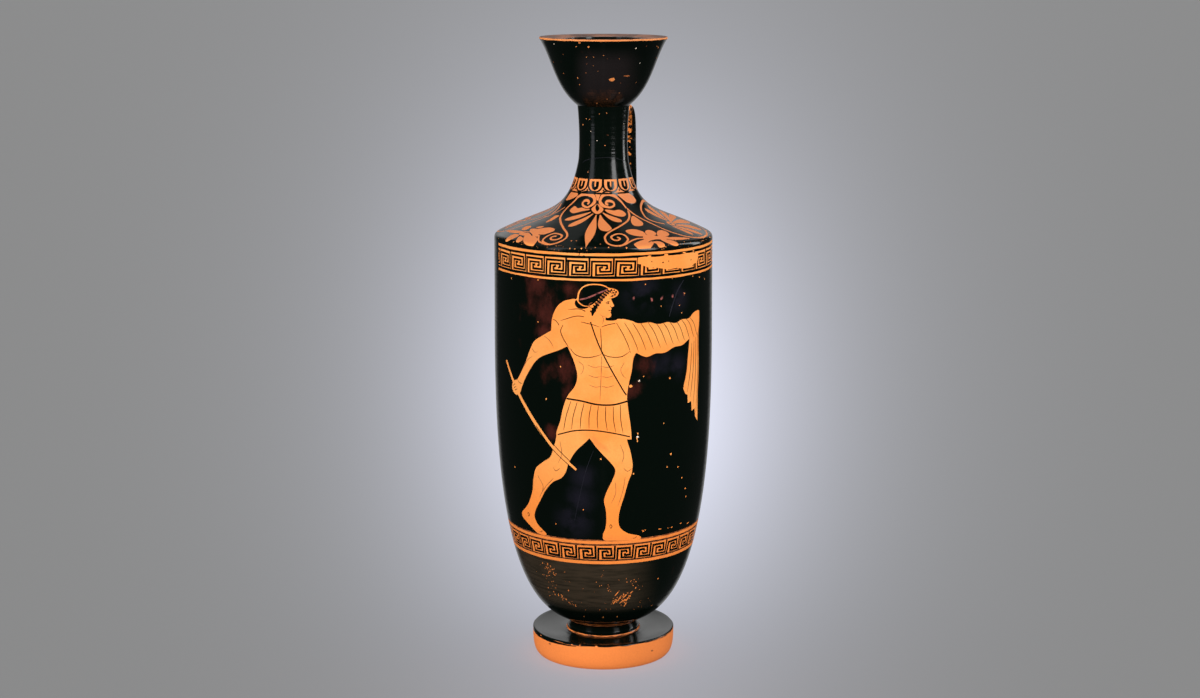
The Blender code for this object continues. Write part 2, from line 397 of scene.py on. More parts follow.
def widened(line, width, thin_start=1.0, thin_end=1.0, thin_over=0.25):
    """The closed outline of a stroke along a line. Its ends can be thinner than its middle."""
    line = np.array(line, dtype=float)
    ahead = np.diff(line, axis=0)
    ahead /= np.maximum(np.linalg.norm(ahead, axis=1), 1e-9)[:, None]
    sideways = np.column_stack([-ahead[:, 1], ahead[:, 0]])
    before = np.vstack([sideways[:1], sideways])
    after = np.vstack([sideways, sideways[-1:]])
    corner = before + after
    corner /= np.maximum(np.linalg.norm(corner, axis=1), 1e-9)[:, None]
    corner /= np.maximum((corner * after).sum(axis=1), 0.6)[:, None]
    way = ways_along(line)
    way /= way[-1]
    start = thin_start + (1 - thin_start) * np.clip(way / thin_over, 0, 1)
    end = thin_end + (1 - thin_end) * np.clip((1 - way) / thin_over, 0, 1)
    half = (width / 2 * np.minimum(start, end))[:, None]
    return np.vstack([line + corner * half, (line - corner * half)[::-1]])


# %% Leaves
def petal(base, tip, breadth, bend, fullness, root, point):
    """A drop-shaped leaf from its narrow root to its rounded or pointed tip."""
    base, tip = np.array(base, dtype=float), np.array(tip, dtype=float)
    length = np.linalg.norm(tip - base)
    ahead = (tip - base) / length
    aside = np.array([-ahead[1], ahead[0]])
    t = np.linspace(0, 1, max(10, int(length / 0.9)))[:, None]
    swell = np.where(t < fullness, np.sin(np.minimum(t / fullness, 1) * math.pi / 2) ** 1.3,
                     np.maximum(np.cos((t - fullness) / (1 - fullness) * math.pi / 2), 0) ** (0.5 + point))
    half = breadth / 2 * (root * (1 - t) + (1 - root * (1 - t)) * swell)
    middle = base + ahead * length * t + aside * bend * np.sin(t * math.pi)
    return np.vstack([middle + aside * half, (middle - aside * half)[::-1]])


# %% Filled shapes and drawn lines
GLOSS, CLAY, WASH, RED, THIN_GLOSS, PALE, SCRATCHED = range(7)
LINE_WEIGHT = 1.3
print("the finishes are numbered", GLOSS, "to", SCRATCHED)


def area(finish, points, spacing=0.9, paint=None):
    """A filled shape with a soft outline through a few points."""
    (paint or paint_body)(finish, curve(points, closed=True, spacing=spacing))


def line(points, width=0.42, finish=GLOSS, thin_start=0.7, thin_end=0.35, paint=None):
    """A thin drawn line that runs out towards its end."""
    drawn = widened(curve(points, spacing=0.8), width * LINE_WEIGHT, thin_start, thin_end)
    (paint or paint_body)(finish, drawn)


# %% [markdown]
# ## The body and its borders
#
# The body is painted on a sheet whose width is measured at the widest ring. Upwards the sheet
# follows the outline, so a height in millimetres is turned into a way along the outline first.
# Two orange lines and a key pattern run round under the shoulder and again under the picture.

# %% Body sheet
body_sheet = Sheet(body_outline(400), BODY_RADIUS)
BODY_ROW_SPACING = 2.6 * MM
body_rows = np.linspace(0, body_sheet.up[-1], int(body_sheet.up[-1] / BODY_ROW_SPACING))


def paint_body(finish, outline):
    """Paints on the body: millimetres round it from the middle of the front, and heights."""
    outline = np.array(outline, dtype=float) * MM
    body_sheet.paint(finish, np.column_stack([outline[:, 0], body_sheet.up_at_height(outline[:, 1])]))


BAND_STEP = 6.0


def band(finish, low, high, start, end, unevenness=0.12):
    """A line painted round the pot while it turned, between two heights."""
    x = np.linspace(start, end, int((end - start) / BAND_STEP))
    upper = [(a, high + hand.uniform(-unevenness, unevenness)) for a in x]
    lower = [(a, low + hand.uniform(-unevenness, unevenness)) for a in x]
    paint_body(finish, np.vstack([curve(upper, spacing=2.0), curve(lower, spacing=2.0)[::-1]]))


print("the body's sheet has", len(body_rows), "rows")

# %% Key pattern under the shoulder
BORDER_START, BORDER_END = -86.6, 122.0
UPPER_BORDER = (256.1, 273.1)
UPPER_RULES = ((257.4, 259.1), (269.9, 271.5))
UPPER_KEY_LOW = 258.8
UPPER_KEY_FIRST = -96.9
UPPER_KEY_PITCH = 14.6
UPPER_KEY_STROKE = 1.28


def key_unit(origin, low, size, turn_in, width):
    """Two square spirals that hook into each other, one from the foot and one from the top."""
    for turns in turn_in:
        spots = [(origin + x * size[0], low + y * size[1]) for x, y in turns]
        paint_body(GLOSS, widened(wobble(spots, 0.16), width * hand.uniform(0.9, 1.12)))


UPPER_TURNS = (((0.0, -0.3), (0.3, 9.4), (11.7, 9.2), (11.5, 3.1), (5.2, 3.0), (5.0, 5.3), (6.8, 5.7)),
               ((13.5, 11.6), (13.2, 1.25), (2.5, 1.2), (2.8, 7.1), (9.4, 7.1), (9.4, 5.3), (8.1, 4.8)))
band(CLAY, *UPPER_BORDER, BORDER_START, BORDER_END)
for low, high in UPPER_RULES:
    band(GLOSS, low, high, BORDER_START - 1, BORDER_END + 1)
count = 0
x = UPPER_KEY_FIRST
while x < BORDER_END - 4:
    wide = hand.uniform(0.99, 1.05)
    key_unit(x, UPPER_KEY_LOW, (wide, 1.0), UPPER_TURNS, UPPER_KEY_STROKE)
    x += UPPER_KEY_PITCH * wide
    count += 1
print("key pattern under the shoulder:", count, "units")

# %% Key pattern under the picture
LOWER_BAND_RADIUS = 60.0
LOWER_BORDER = (74.7, 91.0)
LOWER_RULES = ((WASH, 87.4, 88.8), (GLOSS, 87.8, 88.4), (WASH, 76.8, 78.0), (GLOSS, 77.1, 77.7),
               (WASH, 90.6, 91.4))
LOWER_KEY_LOW = 77.3
LOWER_KEY_PITCH = 11.5
LOWER_KEY_TALL = 1.1
LOWER_KEY_STROKE = 1.5
LOWER_UNITS = 16
LOWER_MIDDLE_UNIT = 7
LOWER_MIDDLE = -3.7
LOWER_TURNS = (((0.0, -0.2), (0.2, 7.5), (7.7, 7.5), (8.1, 3.3), (5.0, 3.2), (4.6, 4.2)),
               ((10.0, 9.2), (9.9, 1.5), (2.7, 1.6), (2.6, 5.6), (5.3, 5.8), (6.2, 4.8)))
ALL_ROUND = math.pi * BODY_RADIUS / MM
stretch = BODY_RADIUS / MM / LOWER_BAND_RADIUS
band(CLAY, *LOWER_BORDER, -ALL_ROUND * 0.52, ALL_ROUND * 0.55)
for finish, low, high in LOWER_RULES:
    band(finish, low, high, -ALL_ROUND * 0.51, ALL_ROUND * 0.54, unevenness=0.1)
widths = [stretch * hand.uniform(0.99, 1.07) for _ in range(LOWER_UNITS)]
starts = np.concatenate([[0.0], np.cumsum(widths)]) * LOWER_KEY_PITCH
starts += LOWER_MIDDLE - starts[LOWER_MIDDLE_UNIT]
for x, wide in zip(starts, widths):
    key_unit(float(x), LOWER_KEY_LOW, (wide, LOWER_KEY_TALL), LOWER_TURNS, LOWER_KEY_STROKE)
print("key pattern under the picture:", LOWER_UNITS, "units")


# %% [markdown]
# ## Flakes and chips
#
# Where the gloss has flaked off, bare clay shows as small ragged spots. The larger ones stand
# where the photograph shows them, and the finest are left to the material.

# %% Flakes
def flake(x, z, size, paint=paint_body, finish=CLAY, stretch=1.0):
    """A ragged spot about this wide, in millimetres."""
    count = 7
    spots = []
    for i in range(count):
        angle = math.tau * (i + hand.uniform(-0.3, 0.3)) / count
        reach = size / 2 * hand.uniform(0.6, 1.25)
        spots.append((x + reach * math.cos(angle) * stretch, z + reach * math.sin(angle)))
    paint(finish, spots)


def chip(sheet, azimuth, z, size, finish, stretch):
    """A ragged spot on a turned wall, at degrees round it and a height in millimetres."""
    up = float(sheet.up_at_height(z * MM))
    widening = sheet.around / float(sheet.at(up)[0])

    def place(spot_finish, outline):
        outline = np.array(outline, dtype=float) * MM
        across = math.radians(azimuth) * sheet.around + outline[:, 0] * widening
        sheet.paint(spot_finish, np.column_stack([across, up + outline[:, 1]]))

    flake(0, 0, size, place, finish, stretch)


def chips(sheet, table, stretch=1.0):
    """Chips from a table of azimuths, heights, sizes and finishes."""
    for azimuth, z, size, finish in table:
        chip(sheet, azimuth, z, size, finish, stretch)


def scatter(count, start, end, spread, size):
    """Flakes strewn along a line between two places."""
    for _ in range(count):
        share = hand.random()
        x = start[0] + (end[0] - start[0]) * share + hand.gauss(0, spread)
        z = start[1] + (end[1] - start[1]) * share + hand.gauss(0, spread)
        flake(x, z, size * hand.uniform(0.45, 1.3))


# %% [markdown]
# ## The picture
#
# A youth strides to the right with a staff in one hand and a cloak over the other arm. This is
# a general figure in the manner of such flasks, drawn anew: broad bare areas first, each with a
# soft outline through a few points, and then thin black lines and thinner brown ones on top.

# %% Cloak behind the shoulder, and legs
area(CLAY, [(-5, 234), (-10, 240.0), (-16.6, 244.6), (-21, 244.4), (-25.5, 242.8), (-29.5, 239.2),
            (-32.3, 233.5), (-33.2, 227.5), (-32.4, 222), (-24, 220), (-12, 229)])
for fold in (((-6.5, 234.8), (-14, 238.6), (-22, 238.2)), ((-7.5, 232.8), (-16, 234.4), (-27, 231.0)),
             ((-32.2, 231.5), (-30, 230.6), (-27.5, 227.5))):
    line(fold, 0.36)
area(CLAY, [(-27, 166), (-31.4, 154), (-35.0, 144.6), (-40.6, 140.4), (-46.8, 135.4), (-49.6, 128.0),
            (-51.4, 119.5), (-55.6, 111.5), (-60.6, 106.4), (-64.4, 103.4), (-64.8, 100.2), (-61.0, 97.6),
            (-56.0, 94.6), (-50.6, 91.6), (-44.6, 90.9), (-42.4, 92.4), (-45.2, 94.6), (-49.6, 98),
            (-51.6, 102.5), (-49.6, 107.8), (-44.6, 114.9), (-39.6, 122.3), (-34.0, 128.0), (-28, 131.2),
            (-24.6, 135.4), (-22.4, 141.5), (-17.5, 149.5), (-8, 160), (-10, 172)])
area(CLAY, [(-12, 166), (-6.8, 155.6), (-1.2, 148.6), (5.0, 142.0), (7.6, 137.2), (5.6, 131),
            (2.0, 123.5), (0.4, 117.5), (1.6, 111.5), (2.0, 104.5), (1.2, 99), (-0.4, 95.0), (0.6, 91.4),
            (8, 91.0), (17, 90.7), (24, 90.6), (27, 91.6), (25, 93.4), (17.4, 95.4), (12.0, 99.0),
            (10.2, 103.4), (10.8, 111), (13.6, 120.5), (16.0, 129.5), (18.2, 135.4), (18.6, 141.6),
            (17.0, 149.6), (14.6, 158), (14.6, 170)])

# %% Staff, arm and trunk
area(CLAY, [(-20, 229.8), (-27, 228.4), (-33, 224.6), (-40, 220.4), (-46.0, 216.4), (-49.6, 210.4),
            (-53.0, 203), (-57.8, 195), (-61.4, 190.4), (-65.2, 188.8), (-67.2, 185.4), (-66.0, 181.8),
            (-62.6, 180.2), (-59.2, 181.6), (-57.2, 185.6), (-54.4, 191), (-50.4, 197), (-45.5, 203.4),
            (-40.5, 207.4), (-33, 210.6), (-26, 213.6), (-18, 219)])
STAFF = [(-74.0, 200.5), (-63.6, 185.6), (-48, 167), (-33, 150.6), (-17.5, 137.5)]
paint_body(CLAY, widened(curve(STAFF), 2.4, 0.75, 0.6, 0.4))
area(CLAY, [(-22.6, 230.2), (-26.8, 225.4), (-24.4, 219), (-20.6, 211.5), (-17.6, 204), (-16.2, 197),
            (-17.8, 190.6), (-22.4, 184.4), (-25.4, 177), (-27.6, 168), (-30.4, 160), (-28.4, 157.4),
            (-18.6, 160.8), (-8, 161.6), (4, 160.2), (16.2, 157.0), (17.6, 158.4), (16.8, 167), (15.4, 176),
            (14.6, 184), (15.6, 192), (17.4, 200), (18.6, 208), (22, 216), (22, 228), (13, 232.6),
            (5, 231.8), (-3, 232.6), (-13, 232.4)])
print("the body has", len(body_sheet.strokes), "strokes so far")

# %% Neck and head
HEAD_ASIDE = -2.8


def on_head(points):
    """Points of the face, moved to their place over the neck."""
    return [(across + HEAD_ASIDE, up) for across, up in points]


area(CLAY, [(-11.4, 241), (-11.0, 236.6), (-12.4, 233.6), (-15.5, 231.4), (-3, 228.4), (7.0, 229.6),
            (1.6, 231.6), (0.4, 237)])
line([(-13.8, 230.8), (-7.0, 229.4), (-2.6, 228.0)], 0.34)
line([(-1.2, 228.0), (3.0, 229.4), (9.0, 230.4)], 0.34)
line([(-1.6, 236.2), (0.0, 232.8), (-0.8, 229.4)], 0.3, WASH)
area(CLAY, on_head([(-7.6, 247), (-7.9, 241.6), (-4.6, 238.2), (-1.0, 235.9), (3.2, 234.2), (5.6, 233.6),
                    (7.2, 234.4), (7.5, 236.0), (6.9, 237.0), (7.6, 237.8), (7.1, 238.3), (7.8, 239.1),
                    (7.3, 239.9), (8.9, 240.6), (9.2, 241.3), (8.2, 243.2), (7.5, 245.2), (7.3, 247.6),
                    (5.4, 251.2), (0, 253.6), (-5, 251.5)]), 0.5)
line(on_head([(4.2, 244.9), (5.6, 245.7), (7.2, 245.4)]), 0.3)
line(on_head([(4.2, 242.9), (5.5, 243.6), (6.9, 243.3)]), 0.27)
line(on_head([(4.3, 242.5), (5.4, 242.2), (6.6, 242.6)]), 0.22)
area(GLOSS, on_head([(5.3, 242.5), (5.8, 242.5), (6.0, 243.0), (5.7, 243.3), (5.3, 243.0)]), 0.3)
line(on_head([(7.2, 238.3), (6.4, 238.1), (5.7, 238.4)]), 0.26)
line(on_head([(7.3, 240.3), (6.8, 240.6), (7.0, 241.1)]), 0.22)
line(on_head([(0.6, 235.6), (2.6, 234.6), (4.6, 234.0)]), 0.26, WASH)

# %% Hair, headband and side lock
area(CLAY, [(9.2, 249.1), (8.4, 247.2), (6.0, 245.9), (2, 245), (-2.4, 241.4), (-5.4, 238.0), (-9.6, 238.6),
            (-14.8, 238.8), (-17.4, 240.4), (-18.0, 242.6), (-16.4, 245.4), (-15.7, 248.9), (-13.5, 252.1),
            (-10.3, 253.9), (-6.6, 254.5), (-2.8, 254.4), (0.6, 253.6), (3.1, 252.2), (5.9, 251.6),
            (8.1, 250.7)], 0.7)
area(GLOSS, [(-15.3, 245.5), (-14.8, 248.4), (-13.1, 251.4), (-10, 253.2), (-6.2, 253.8), (-2.2, 253.6),
             (0.9, 252.7), (2.9, 251.2), (-0.3, 248.5), (-3.4, 244.8), (-6.2, 242.2), (-9.1, 240.9),
             (-12.2, 241.2), (-15.1, 243.2)], 0.6)
area(GLOSS, [(-17.8, 242.4), (-16.8, 244.4), (-15.2, 242.3), (-12.2, 240.6), (-8.8, 240.3), (-11.6, 239.0),
             (-14.8, 239.0), (-17.1, 240.4)], 0.6)
line([(-15.2, 244.5), (-11.6, 245.3), (-7.2, 246.9), (-2.8, 248.9), (2.7, 251.1)], 0.72, RED, 1, 1)
LOCK = curve([(4.0, 250.2), (1.9, 248.8), (-0.6, 246.3), (-3.0, 243.1), (-5.0, 240.0), (-6.4, 237.2),
              (-6.9, 234.8)], spacing=1.0)
paint_body(WASH, widened(LOCK, 2.2, 0.6, 0.3, 0.3))
for step, (across, up) in enumerate(LOCK[:-2]):
    swing = 0.85 if step % 2 else -0.85
    line([(across + swing - 0.9, up + 0.6), (across + swing + 0.6, up - 0.6)], 0.8, GLOSS, 0.8, 0.6)
paint_body(GLOSS, widened(LOCK[-8:], 2.6, 0.4, 0.3, 0.4))
for across, up in ((4.8, 250.6), (6.5, 250.6), (7.7, 249.4), (6.9, 247.8), (5.2, 247.0), (5.9, 249.1)):
    flake(across, up, 1.4, finish=GLOSS)
    flake(across - 0.9, up - 0.5, 0.8, finish=WASH)
line([(-6.9, 243.0), (-8.6, 242.2), (-8.3, 240.0), (-6.9, 240.4)], 0.34, WASH)
print("the side lock is drawn with", len(LOCK) - 2, "short strokes")


# %% Cloak over the forward arm
def long_fold(start, end, bow, width):
    """A fold that bows a little to one side."""
    line([start, ((start[0] + end[0]) / 2 + bow, (start[1] + end[1]) / 2), end], width)


RAGGED_HEM = [(55.4, 185.4), (57.6, 181.4), (59.6, 180.8), (60.0, 175.2), (63.6, 176.0), (64.4, 169.6),
              (67.6, 170.6), (68.6, 165.4)]
paint_body(CLAY, np.vstack([
    curve([(61.0, 216.0), (59.6, 206), (58.4, 196), (55.4, 185.4)])[:-1], RAGGED_HEM,
    curve([(71.8, 161.8), (71.0, 178), (71.6, 196), (71.0, 214), (71.4, 226)])]))
area(CLAY, [(8, 232.4), (15, 231.6), (22, 229.6), (29.0, 229.8), (35, 228.2), (42, 228.8), (48, 227.6),
            (54, 229.2), (60, 229.0), (65.0, 231.8), (70.6, 232.8), (72.0, 230.6), (71.4, 222),
            (68.0, 215.6), (61, 216.0), (54, 213.0), (47, 212.6), (40, 210.0), (33, 210.0), (27, 208.4),
            (21, 211.0), (15, 214), (8, 224)])
for start in (10.5, 15.5, 20.5, 25.5, 30.5, 35.5, 40.5, 45.5, 50.5, 55.5, 60.0, 64.0):
    lift = (start - 10.5) * 0.10
    line([(start - 2.6, 230.4 - lift * 0.2), (start + 1.6, 223.0 + lift * 0.4),
          (start + 4.8, 216.0 + lift * 0.4), (start + 6.2, 211.4 + lift)], 0.32)
for start, end in (((63.4, 213.0), (59.4, 182.4)), ((65.8, 214.0), (62.6, 178.6)),
                   ((68.0, 216.0), (65.8, 172.6)), ((70.0, 219.0), (69.4, 167.6))):
    long_fold(start, end, 0.9, 0.36)

# %% Lines of the trunk and the hip cloth
line([(-20.6, 214.0), (-17.2, 210.4), (-10.6, 208.8), (-3.4, 210.2), (-1.2, 211.4)], 0.36)
line([(-1.2, 211.4), (4.0, 209.4), (11.0, 209.4), (16.6, 212.6)], 0.36)
line([(-1.8, 227.0), (-1.4, 219), (-1.2, 211.6)], 0.34)
line([(-1.2, 209.6), (-1.4, 200), (-1.8, 190), (-2.2, 181.4)], 0.3, WASH)
for across, up in ((-9.6, 203.4), (-9.2, 197.2), (-8.8, 191.0)):
    line([(across, up + 0.8), (across + 3.8, up - 0.5), (-1.7, up)], 0.28, WASH)
    line([(-1.0, up), (2.6, up - 0.5), (6.6, up + 0.6)], 0.28, WASH)
line([(-15.4, 206.4), (-12.4, 203.6), (-13.0, 199.6), (-14.6, 198.2)], 0.3, WASH)
line([(12.8, 205.6), (10.6, 201.4), (12.0, 197.6), (14.0, 195.8)], 0.3, WASH)
line([(-8.0, 231.0), (-3.0, 217), (3.6, 203.5), (11.6, 189.2), (14.2, 185.2)], 0.62, GLOSS, 1, 1)
line([(-23.2, 182.6), (-14.0, 181.6), (-4.0, 179.6), (6.0, 179.4), (15.0, 181.4)], 0.8, GLOSS, 1, 1)
line([(-29.4, 159.2), (-18.6, 162.4), (-8, 163.2), (4, 161.8), (16.6, 158.8)], 0.6, GLOSS, 1, 1)
PLEATS = (((-20.4, 181.0), (-25.4, 162.2)), ((-16.4, 180.6), (-20.2, 163.2)),
          ((-12.0, 180.2), (-14.6, 163.8)), ((-7.6, 179.4), (-9.0, 164.0)),
          ((-3.2, 178.6), (-3.4, 163.6)), ((1.4, 178.4), (2.4, 163.0)),
          ((6.0, 178.4), (7.6, 162.0)), ((10.4, 179.2), (12.2, 161.0)))
for start, end in PLEATS:
    long_fold(start, end, -0.6, 0.34)

# %% Lines of the arm, hand and legs
MUSCLES = ([(-38.5, 220.6), (-34.5, 218), (-31.5, 213.6)], [(-48.0, 211.8), (-45.6, 209.6), (-43.2, 210.2)],
           [(-56.2, 197.6), (-52.0, 203.6), (-47.2, 207.0)], [(-28.0, 155), (-27.0, 147), (-29.8, 140.6)],
           [(-28.6, 137.4), (-31.6, 135.6), (-33.4, 138.0)], [(-45.6, 130.6), (-41.8, 124), (-44.8, 117)],
           [(-33.6, 130.4), (-39.8, 124.2), (-45.0, 117.2)], [(10.6, 154), (12.8, 147.4), (11.6, 141.6)],
           [(18.6, 138.4), (15.4, 136.6), (12.8, 138.8)], [(7.6, 129.6), (7.9, 122.6), (5.0, 115.6)],
           [(14.0, 133.0), (12.6, 124), (9.6, 114)])
for points in MUSCLES:
    line(points, 0.3, WASH)
line([(-25.4, 228.4), (-26.9, 224.4), (-24.8, 219.4), (-21.0, 213.8)], 0.4)
line([(-61.2, 190.2), (-59.4, 188.6), (-56.8, 188.2)], 0.3)
for across, up in ((-57.6, 103.0), (5.0, 100.6)):
    line([(across - 0.9, up), (across, up + 1.3), (across + 0.9, up), (across, up - 1.2),
          (across - 0.9, up + 0.1)], 0.32)
line([(23.6, 93.2), (22.6, 92.0), (20.4, 92.0)], 0.28)
line([(-45.8, 94.2), (-47.0, 93.0), (-48.8, 93.2)], 0.28)
line([(-45.4, 163.0), (-33.6, 149.6), (-18.0, 136.6)], 0.36, GLOSS, 1, 1)
line([(-43.6, 164.6), (-31.8, 151.8), (-17.0, 138.9)], 0.36, GLOSS, 1, 1)
area(CLAY, [(-66.7, 187.2), (-64.4, 188.0), (-61.0, 185.4), (-59.8, 182.8), (-62.2, 180.6),
            (-65.4, 182.4)], 0.6)
for finger in range(3):
    line([(-66.4 + 1.1 * finger, 185.4 - 1.3 * finger), (-63.7 + 1.1 * finger, 187.2 - 1.5 * finger)], 0.28)
print("with the whole picture the body has", len(body_sheet.strokes), "strokes")

# %% [markdown]
# ## Wear
#
# A row of short faded strokes stands beside the youth's face. Part of the upper key pattern is
# worn down to the clay. Two old cracks show as dull lines in the gloss, and a third, very short,
# as a dark line in the border. Wear lies over the painting, so it is painted last.

# %% Faded row of strokes
FADED_STROKES = ((18.7, 245.2, 0.2), (30.5, 243.8, -0.4), (37.6, 244.3, 0.8), (45.8, 244.8, 0.3),
                 (55.4, 244.8, -0.3))
for across, up, lean in FADED_STROKES:
    line([(across - lean, up - 1.1), (across, up), (across + lean, up + 1.1)], 0.95, RED, 0.6, 0.5)

# %% Worn patch of the key pattern
WORN_PATCH = [(21.4, 269.8), (25.6, 270.4), (33, 270.0), (41, 270.4), (50, 269.8), (57, 270.2),
              (64, 269.6), (70.0, 269.2), (70.4, 266.6), (69.0, 263.0), (65.4, 262.8), (63.1, 261.2),
              (59.8, 260.4), (54.6, 260.6), (49.0, 261.9), (43.3, 261.4), (39.1, 262.2), (33.4, 263.4),
              (27.9, 263.6), (25.6, 264.8), (23.4, 265.8), (21.2, 266.4)]
paint_body(CLAY, wobble(WORN_PATCH, 0.25))
for across, width in ((28.6, 2.6), (41.0, 3.4), (55.4, 3.0), (64.6, 1.8)):
    flake(across, 270.7, 1.1, stretch=width)
for across, up in ((42.6, 266.6), (38.4, 266.2), (62.2, 265.4), (30.4, 267.2)):
    flake(across, up, 1.1, finish=GLOSS)

# %% Placed chips
CHIPS = [(-42.9, 254.9, 0.9), (26.3, 253.5, 0.9), (25.2, 196.3, 0.9), (17.1, 190.7, 2.4), (-67.4, 253.2, 1.0),
         (43.9, 193.4, 1.2), (-37.2, 181, 1.3), (-27.1, 202.3, 1.0), (-43.1, 228.8, 1.0), (-68.1, 132.2, 1.0),
         (-1.6, 145, 1.3), (14.3, 160.5, 1.1), (46.4, 144.6, 1.4), (53, 135.1, 1.4), (62.2, 119.3, 1.3),
         (57.6, 127.2, 1.3), (64, 113.6, 1.0), (43.6, 136.5, 1.0), (19.3, 134.8, 1.1), (39.8, 165.2, 0.8),
         (-13.4, 111.5, 0.9), (-33.8, 100.3, 0.9), (45.5, 255.4, 0.8), (64.0, 254.9, 0.9), (72.1, 253.3, 1.0),
         (79.8, 251.0, 1.1), (56.1, 245.1, 0.8), (53.6, 233.4, 0.8), (51.5, 238.2, 0.7), (37.1, 239.1, 0.8)]
for across, up, size in CHIPS:
    flake(across, up, size)
for across, up, size in ((22.2, 193.8, 1.6), (21.7, 158.4, 1.5)):
    flake(across, up, size, finish=PALE)
for across, up in ((21.7, 160.4), (21.2, 157.2), (21.5, 155.6)):
    flake(across, up, 1.4, stretch=0.7)
for across, up in ((-46.8, 271.4), (-45.3, 268.8), (-11.9, 273.4), (-12.0, 271.6)):
    flake(across, up, 0.8, finish=GLOSS)
for across, up in ((29.1, 96.3), (41.7, 95.7), (50.9, 94.9), (59.9, 96.3), (70, 94.4)):
    for _ in range(3):
        flake(across + hand.uniform(-2.4, 2.4), up + hand.uniform(-0.4, 0.4), 0.7, stretch=1.9)

# %% Strewn flakes below the lower border
for start, end in (((8.6, 45.4), (10.8, 48.0)), ((10.0, 51.4), (12.4, 54.0)), ((12.6, 47.6), (16.0, 51.4)),
                   ((15.4, 45.0), (18.4, 48.4)), ((17.4, 49.6), (20.2, 52.6)), ((19.4, 43.0), (21.4, 45.6)),
                   ((20.6, 47.2), (23.8, 51.0)), ((22.6, 52.4), (25.0, 54.6))):
    line(wobble([start, end], 0.7), 0.55, CLAY, 0.5, 0.4)
scatter(34, (8.6, 47.0), (24.0, 54.0), 1.5, 0.9)
scatter(14, (16.0, 44.5), (25.0, 50.5), 1.0, 0.8)
scatter(12, (22.0, 62.0), (29.0, 56.0), 1.4, 0.8)
scatter(9, (-8.0, 61.5), (7.0, 57.0), 1.2, 0.7)
scatter(26, (-55.0, 71.0), (-38.0, 66.0), 1.9, 0.8)
scatter(16, (-53.0, 62.0), (-42.0, 54.0), 2.2, 0.6)
scatter(20, (-54.0, 49.5), (-33.0, 47.0), 1.4, 0.9)
scatter(12, (-36.0, 46.0), (-27.0, 42.5), 1.0, 0.8)
scatter(18, (-60, 62), (60, 60), 4.6, 0.5)
scatter(14, (-40, 42), (50, 42), 3.0, 0.5)
for across, up in ((48.2, 60.2), (55.0, 39.0), (15.4, 34.0), (-0.2, 34.0), (-22.1, 33.5), (-30.7, 54.0)):
    flake(across, up, 1.1)

# %% Old cracks
line([(55.2, 253.7), (49.9, 247.6), (45.6, 238.6), (43.2, 232.1)], 0.7, SCRATCHED, 0.5, 0.5)
line([(-6.3, 150.1), (-11.1, 137.6), (-15.3, 121.8), (-19.7, 103.9)], 0.24, SCRATCHED, 0.6, 0.6)
line([(-14.6, 273.2), (-15.4, 271.0)], 0.3, GLOSS, 1, 0.6)
print("with its wear the body has", len(body_sheet.strokes), "strokes")


# %% Build the body
def hidden_body_rings():
    """From the top edge down the inside to the floor, and the disc that sits on the stem."""
    inner = inward(body_outline(60), WALL)
    inner = inner[inner[:, 0] > 0.012][::-1]
    floor_z = inner[-1][1] - WALL / 4
    return [tuple(p) for p in inner] + [(0.0, floor_z), (0.0, BODY_FOOT_Z)]


# %% [markdown]
# ## Finishes
#
# Each finish is a small recipe. The helpers below add one step each and hand back its result,
# so a recipe reads from top to bottom. All patterns are placed by the flask's own coordinates.

